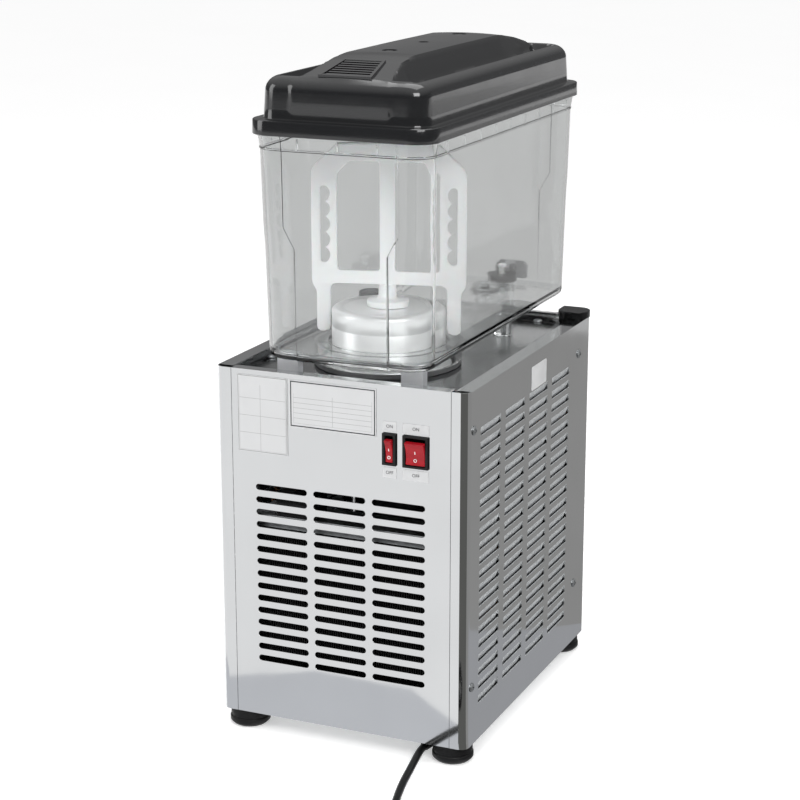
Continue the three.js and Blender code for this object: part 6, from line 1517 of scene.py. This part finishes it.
class DISPENSER_OT_cooling(bpy.types.Operator):
    """Dresses the cooling unit behind the slots: fins, shroud, fan, compressor, pipes and wires"""
    bl_idname = "dispenser.cooling"
    bl_label = "Cooling unit"

    def execute(self, context):
        self.fins()
        dressed("shroud_sheet", ["fan_shroud"], look("zinc"), "cabinet", 0)
        dressed("fan_wheel", ["fan"], look("zinc"), "fan", 0.0003)
        dressed("fan_motor_can", ["fan_motor"], look("painted"), "cabinet", 0.0006)
        dressed("compressor_shell", ["compressor"], look("painted"), "cabinet", 0.0008)
        for name in ("discharge_pipe", "suction_pipe", "liquid_pipe"):
            dressed(f"{name}_line", [name], look("copper"), "cabinet", 0, 50)
        dressed("thermostat_box", ["thermostat"], look("black"), "cabinet", 0.0008)
        self.wires()
        return {"FINISHED"}

    def fins(self):
        """Condenser: many thin upright fins at an even pitch, pierced by straight level tubes."""
        lo, hi = low("condenser"), high("condenser")
        count, half, border = 78, 0.00022, 0.0045
        depth, height = (lo[1], hi[1]), (lo[2], hi[2])
        parts = [box_part((x - half, x + half), (lo[1] + 0.001, hi[1]), height)
                 for x in np.linspace(lo[0] + border, hi[0] - border, count)]
        parts += [box_part(x, depth, height) for x in ((lo[0], lo[0] + SHEET), (hi[0] - SHEET, hi[0]))]
        fins = mesh_object("condenser_fins", joined(*parts))
        settled_piece(fins, look("painted"), "cabinet", ["condenser"])
        tubes = []
        for row in np.arange(8):
            z = lo[2] + 0.014 + row * 0.0226
            for y in (lo[1] + 0.010, hi[1] - 0.010):
                line = np.column_stack([np.linspace(lo[0] + 0.002, hi[0] - 0.002, 4), np.full(4, y),
                                        np.full(4, z)])
                tubes.append(swept(line, 0.0034, 12))
        settled_piece(mesh_object("condenser_tubes", joined(*tubes)), look("painted"), "cabinet", ())

    def wires(self):
        """Wires behind the upper slots: smooth sagging curves from
        the switches to the thermostat and on inwards."""
        back = REAR - 0.030
        runs = [
            [(-0.0516, back, 0.300), (-0.050, back - 0.004, 0.280), (-0.030, back - 0.010, 0.262),
             (0.010, back - 0.006, 0.256), (0.044, back, 0.2475)],
            [(-0.078, back, 0.300), (-0.079, back - 0.002, 0.276), (-0.060, back - 0.010, 0.258),
             (0.000, back - 0.014, 0.268), (0.060, back, 0.2475)],
            [(-0.078, back, 0.297), (-0.088, back - 0.006, 0.272), (-0.096, back - 0.030, 0.250),
             (-0.098, back - 0.080, 0.236), (-0.090, back - 0.150, 0.232)],
            [(0.036, back, 0.2475), (0.020, back - 0.006, 0.266), (-0.010, back - 0.018, 0.270),
             (-0.030, back - 0.050, 0.262), (-0.020, back - 0.090, 0.300)],
        ]
        parts = [swept(smooth_path(run, 30), 0.0013, 10) for run in runs]
        settled_piece(mesh_object("wires", joined(*parts)), look("lead"), "cabinet", ())


# Sidebar and registration

STEPS = ("camera", "cord", "stage", "cabinet", "switches", "bowl", "lid", "paddle", "tap", "cooling")
GROUPS = {"dispenser_bowl": DispenserBowl, "dispenser_lid": DispenserLid, "dispenser_paddle": DispenserPaddle,
          "dispenser_cord": DispenserCord, "dispenser_finish": DispenserFinish,
          "dispenser_stage": DispenserStage}


class DISPENSER_PT_panel(bpy.types.Panel):
    """Sidebar panel with the sizes, the colours and the steps"""
    bl_idname = "DISPENSER_PT_panel"
    bl_label = "Cold drink dispenser"
    bl_space_type = "VIEW_3D"
    bl_region_type = "UI"
    bl_category = "Dispenser"

    def draw(self, context):
        for step in STEPS:
            self.layout.operator(f"dispenser.{step}")
        for name, group in GROUPS.items():
            box = self.layout.box()
            box.label(text=name.replace("_", " "))
            for key in group.__annotations__:
                box.prop(getattr(context.scene, name), key)


CLASSES = (*GROUPS.values(), DISPENSER_OT_camera, DISPENSER_OT_cord, DISPENSER_OT_stage, DISPENSER_OT_cabinet,
           DISPENSER_OT_switches, DISPENSER_OT_bowl, DISPENSER_OT_lid, DISPENSER_OT_paddle, DISPENSER_OT_tap,
           DISPENSER_OT_cooling, DISPENSER_PT_panel)


def register():
    """Registers the classes and ties each group of sizes to the scene."""
    for each in CLASSES:
        bpy.utils.register_class(each)
    for name, group in GROUPS.items():
        setattr(bpy.types.Scene, name, PointerProperty(type=group))


def unregister():
    """Takes everything back."""
    for name in GROUPS:
        delattr(bpy.types.Scene, name)
    for each in reversed(CLASSES):
        bpy.utils.unregister_class(each)


def main():
    """Runs every step in order."""
    register()
    for step in STEPS:
        getattr(bpy.ops.dispenser, step)()


if __name__ == "__main__":
    main()
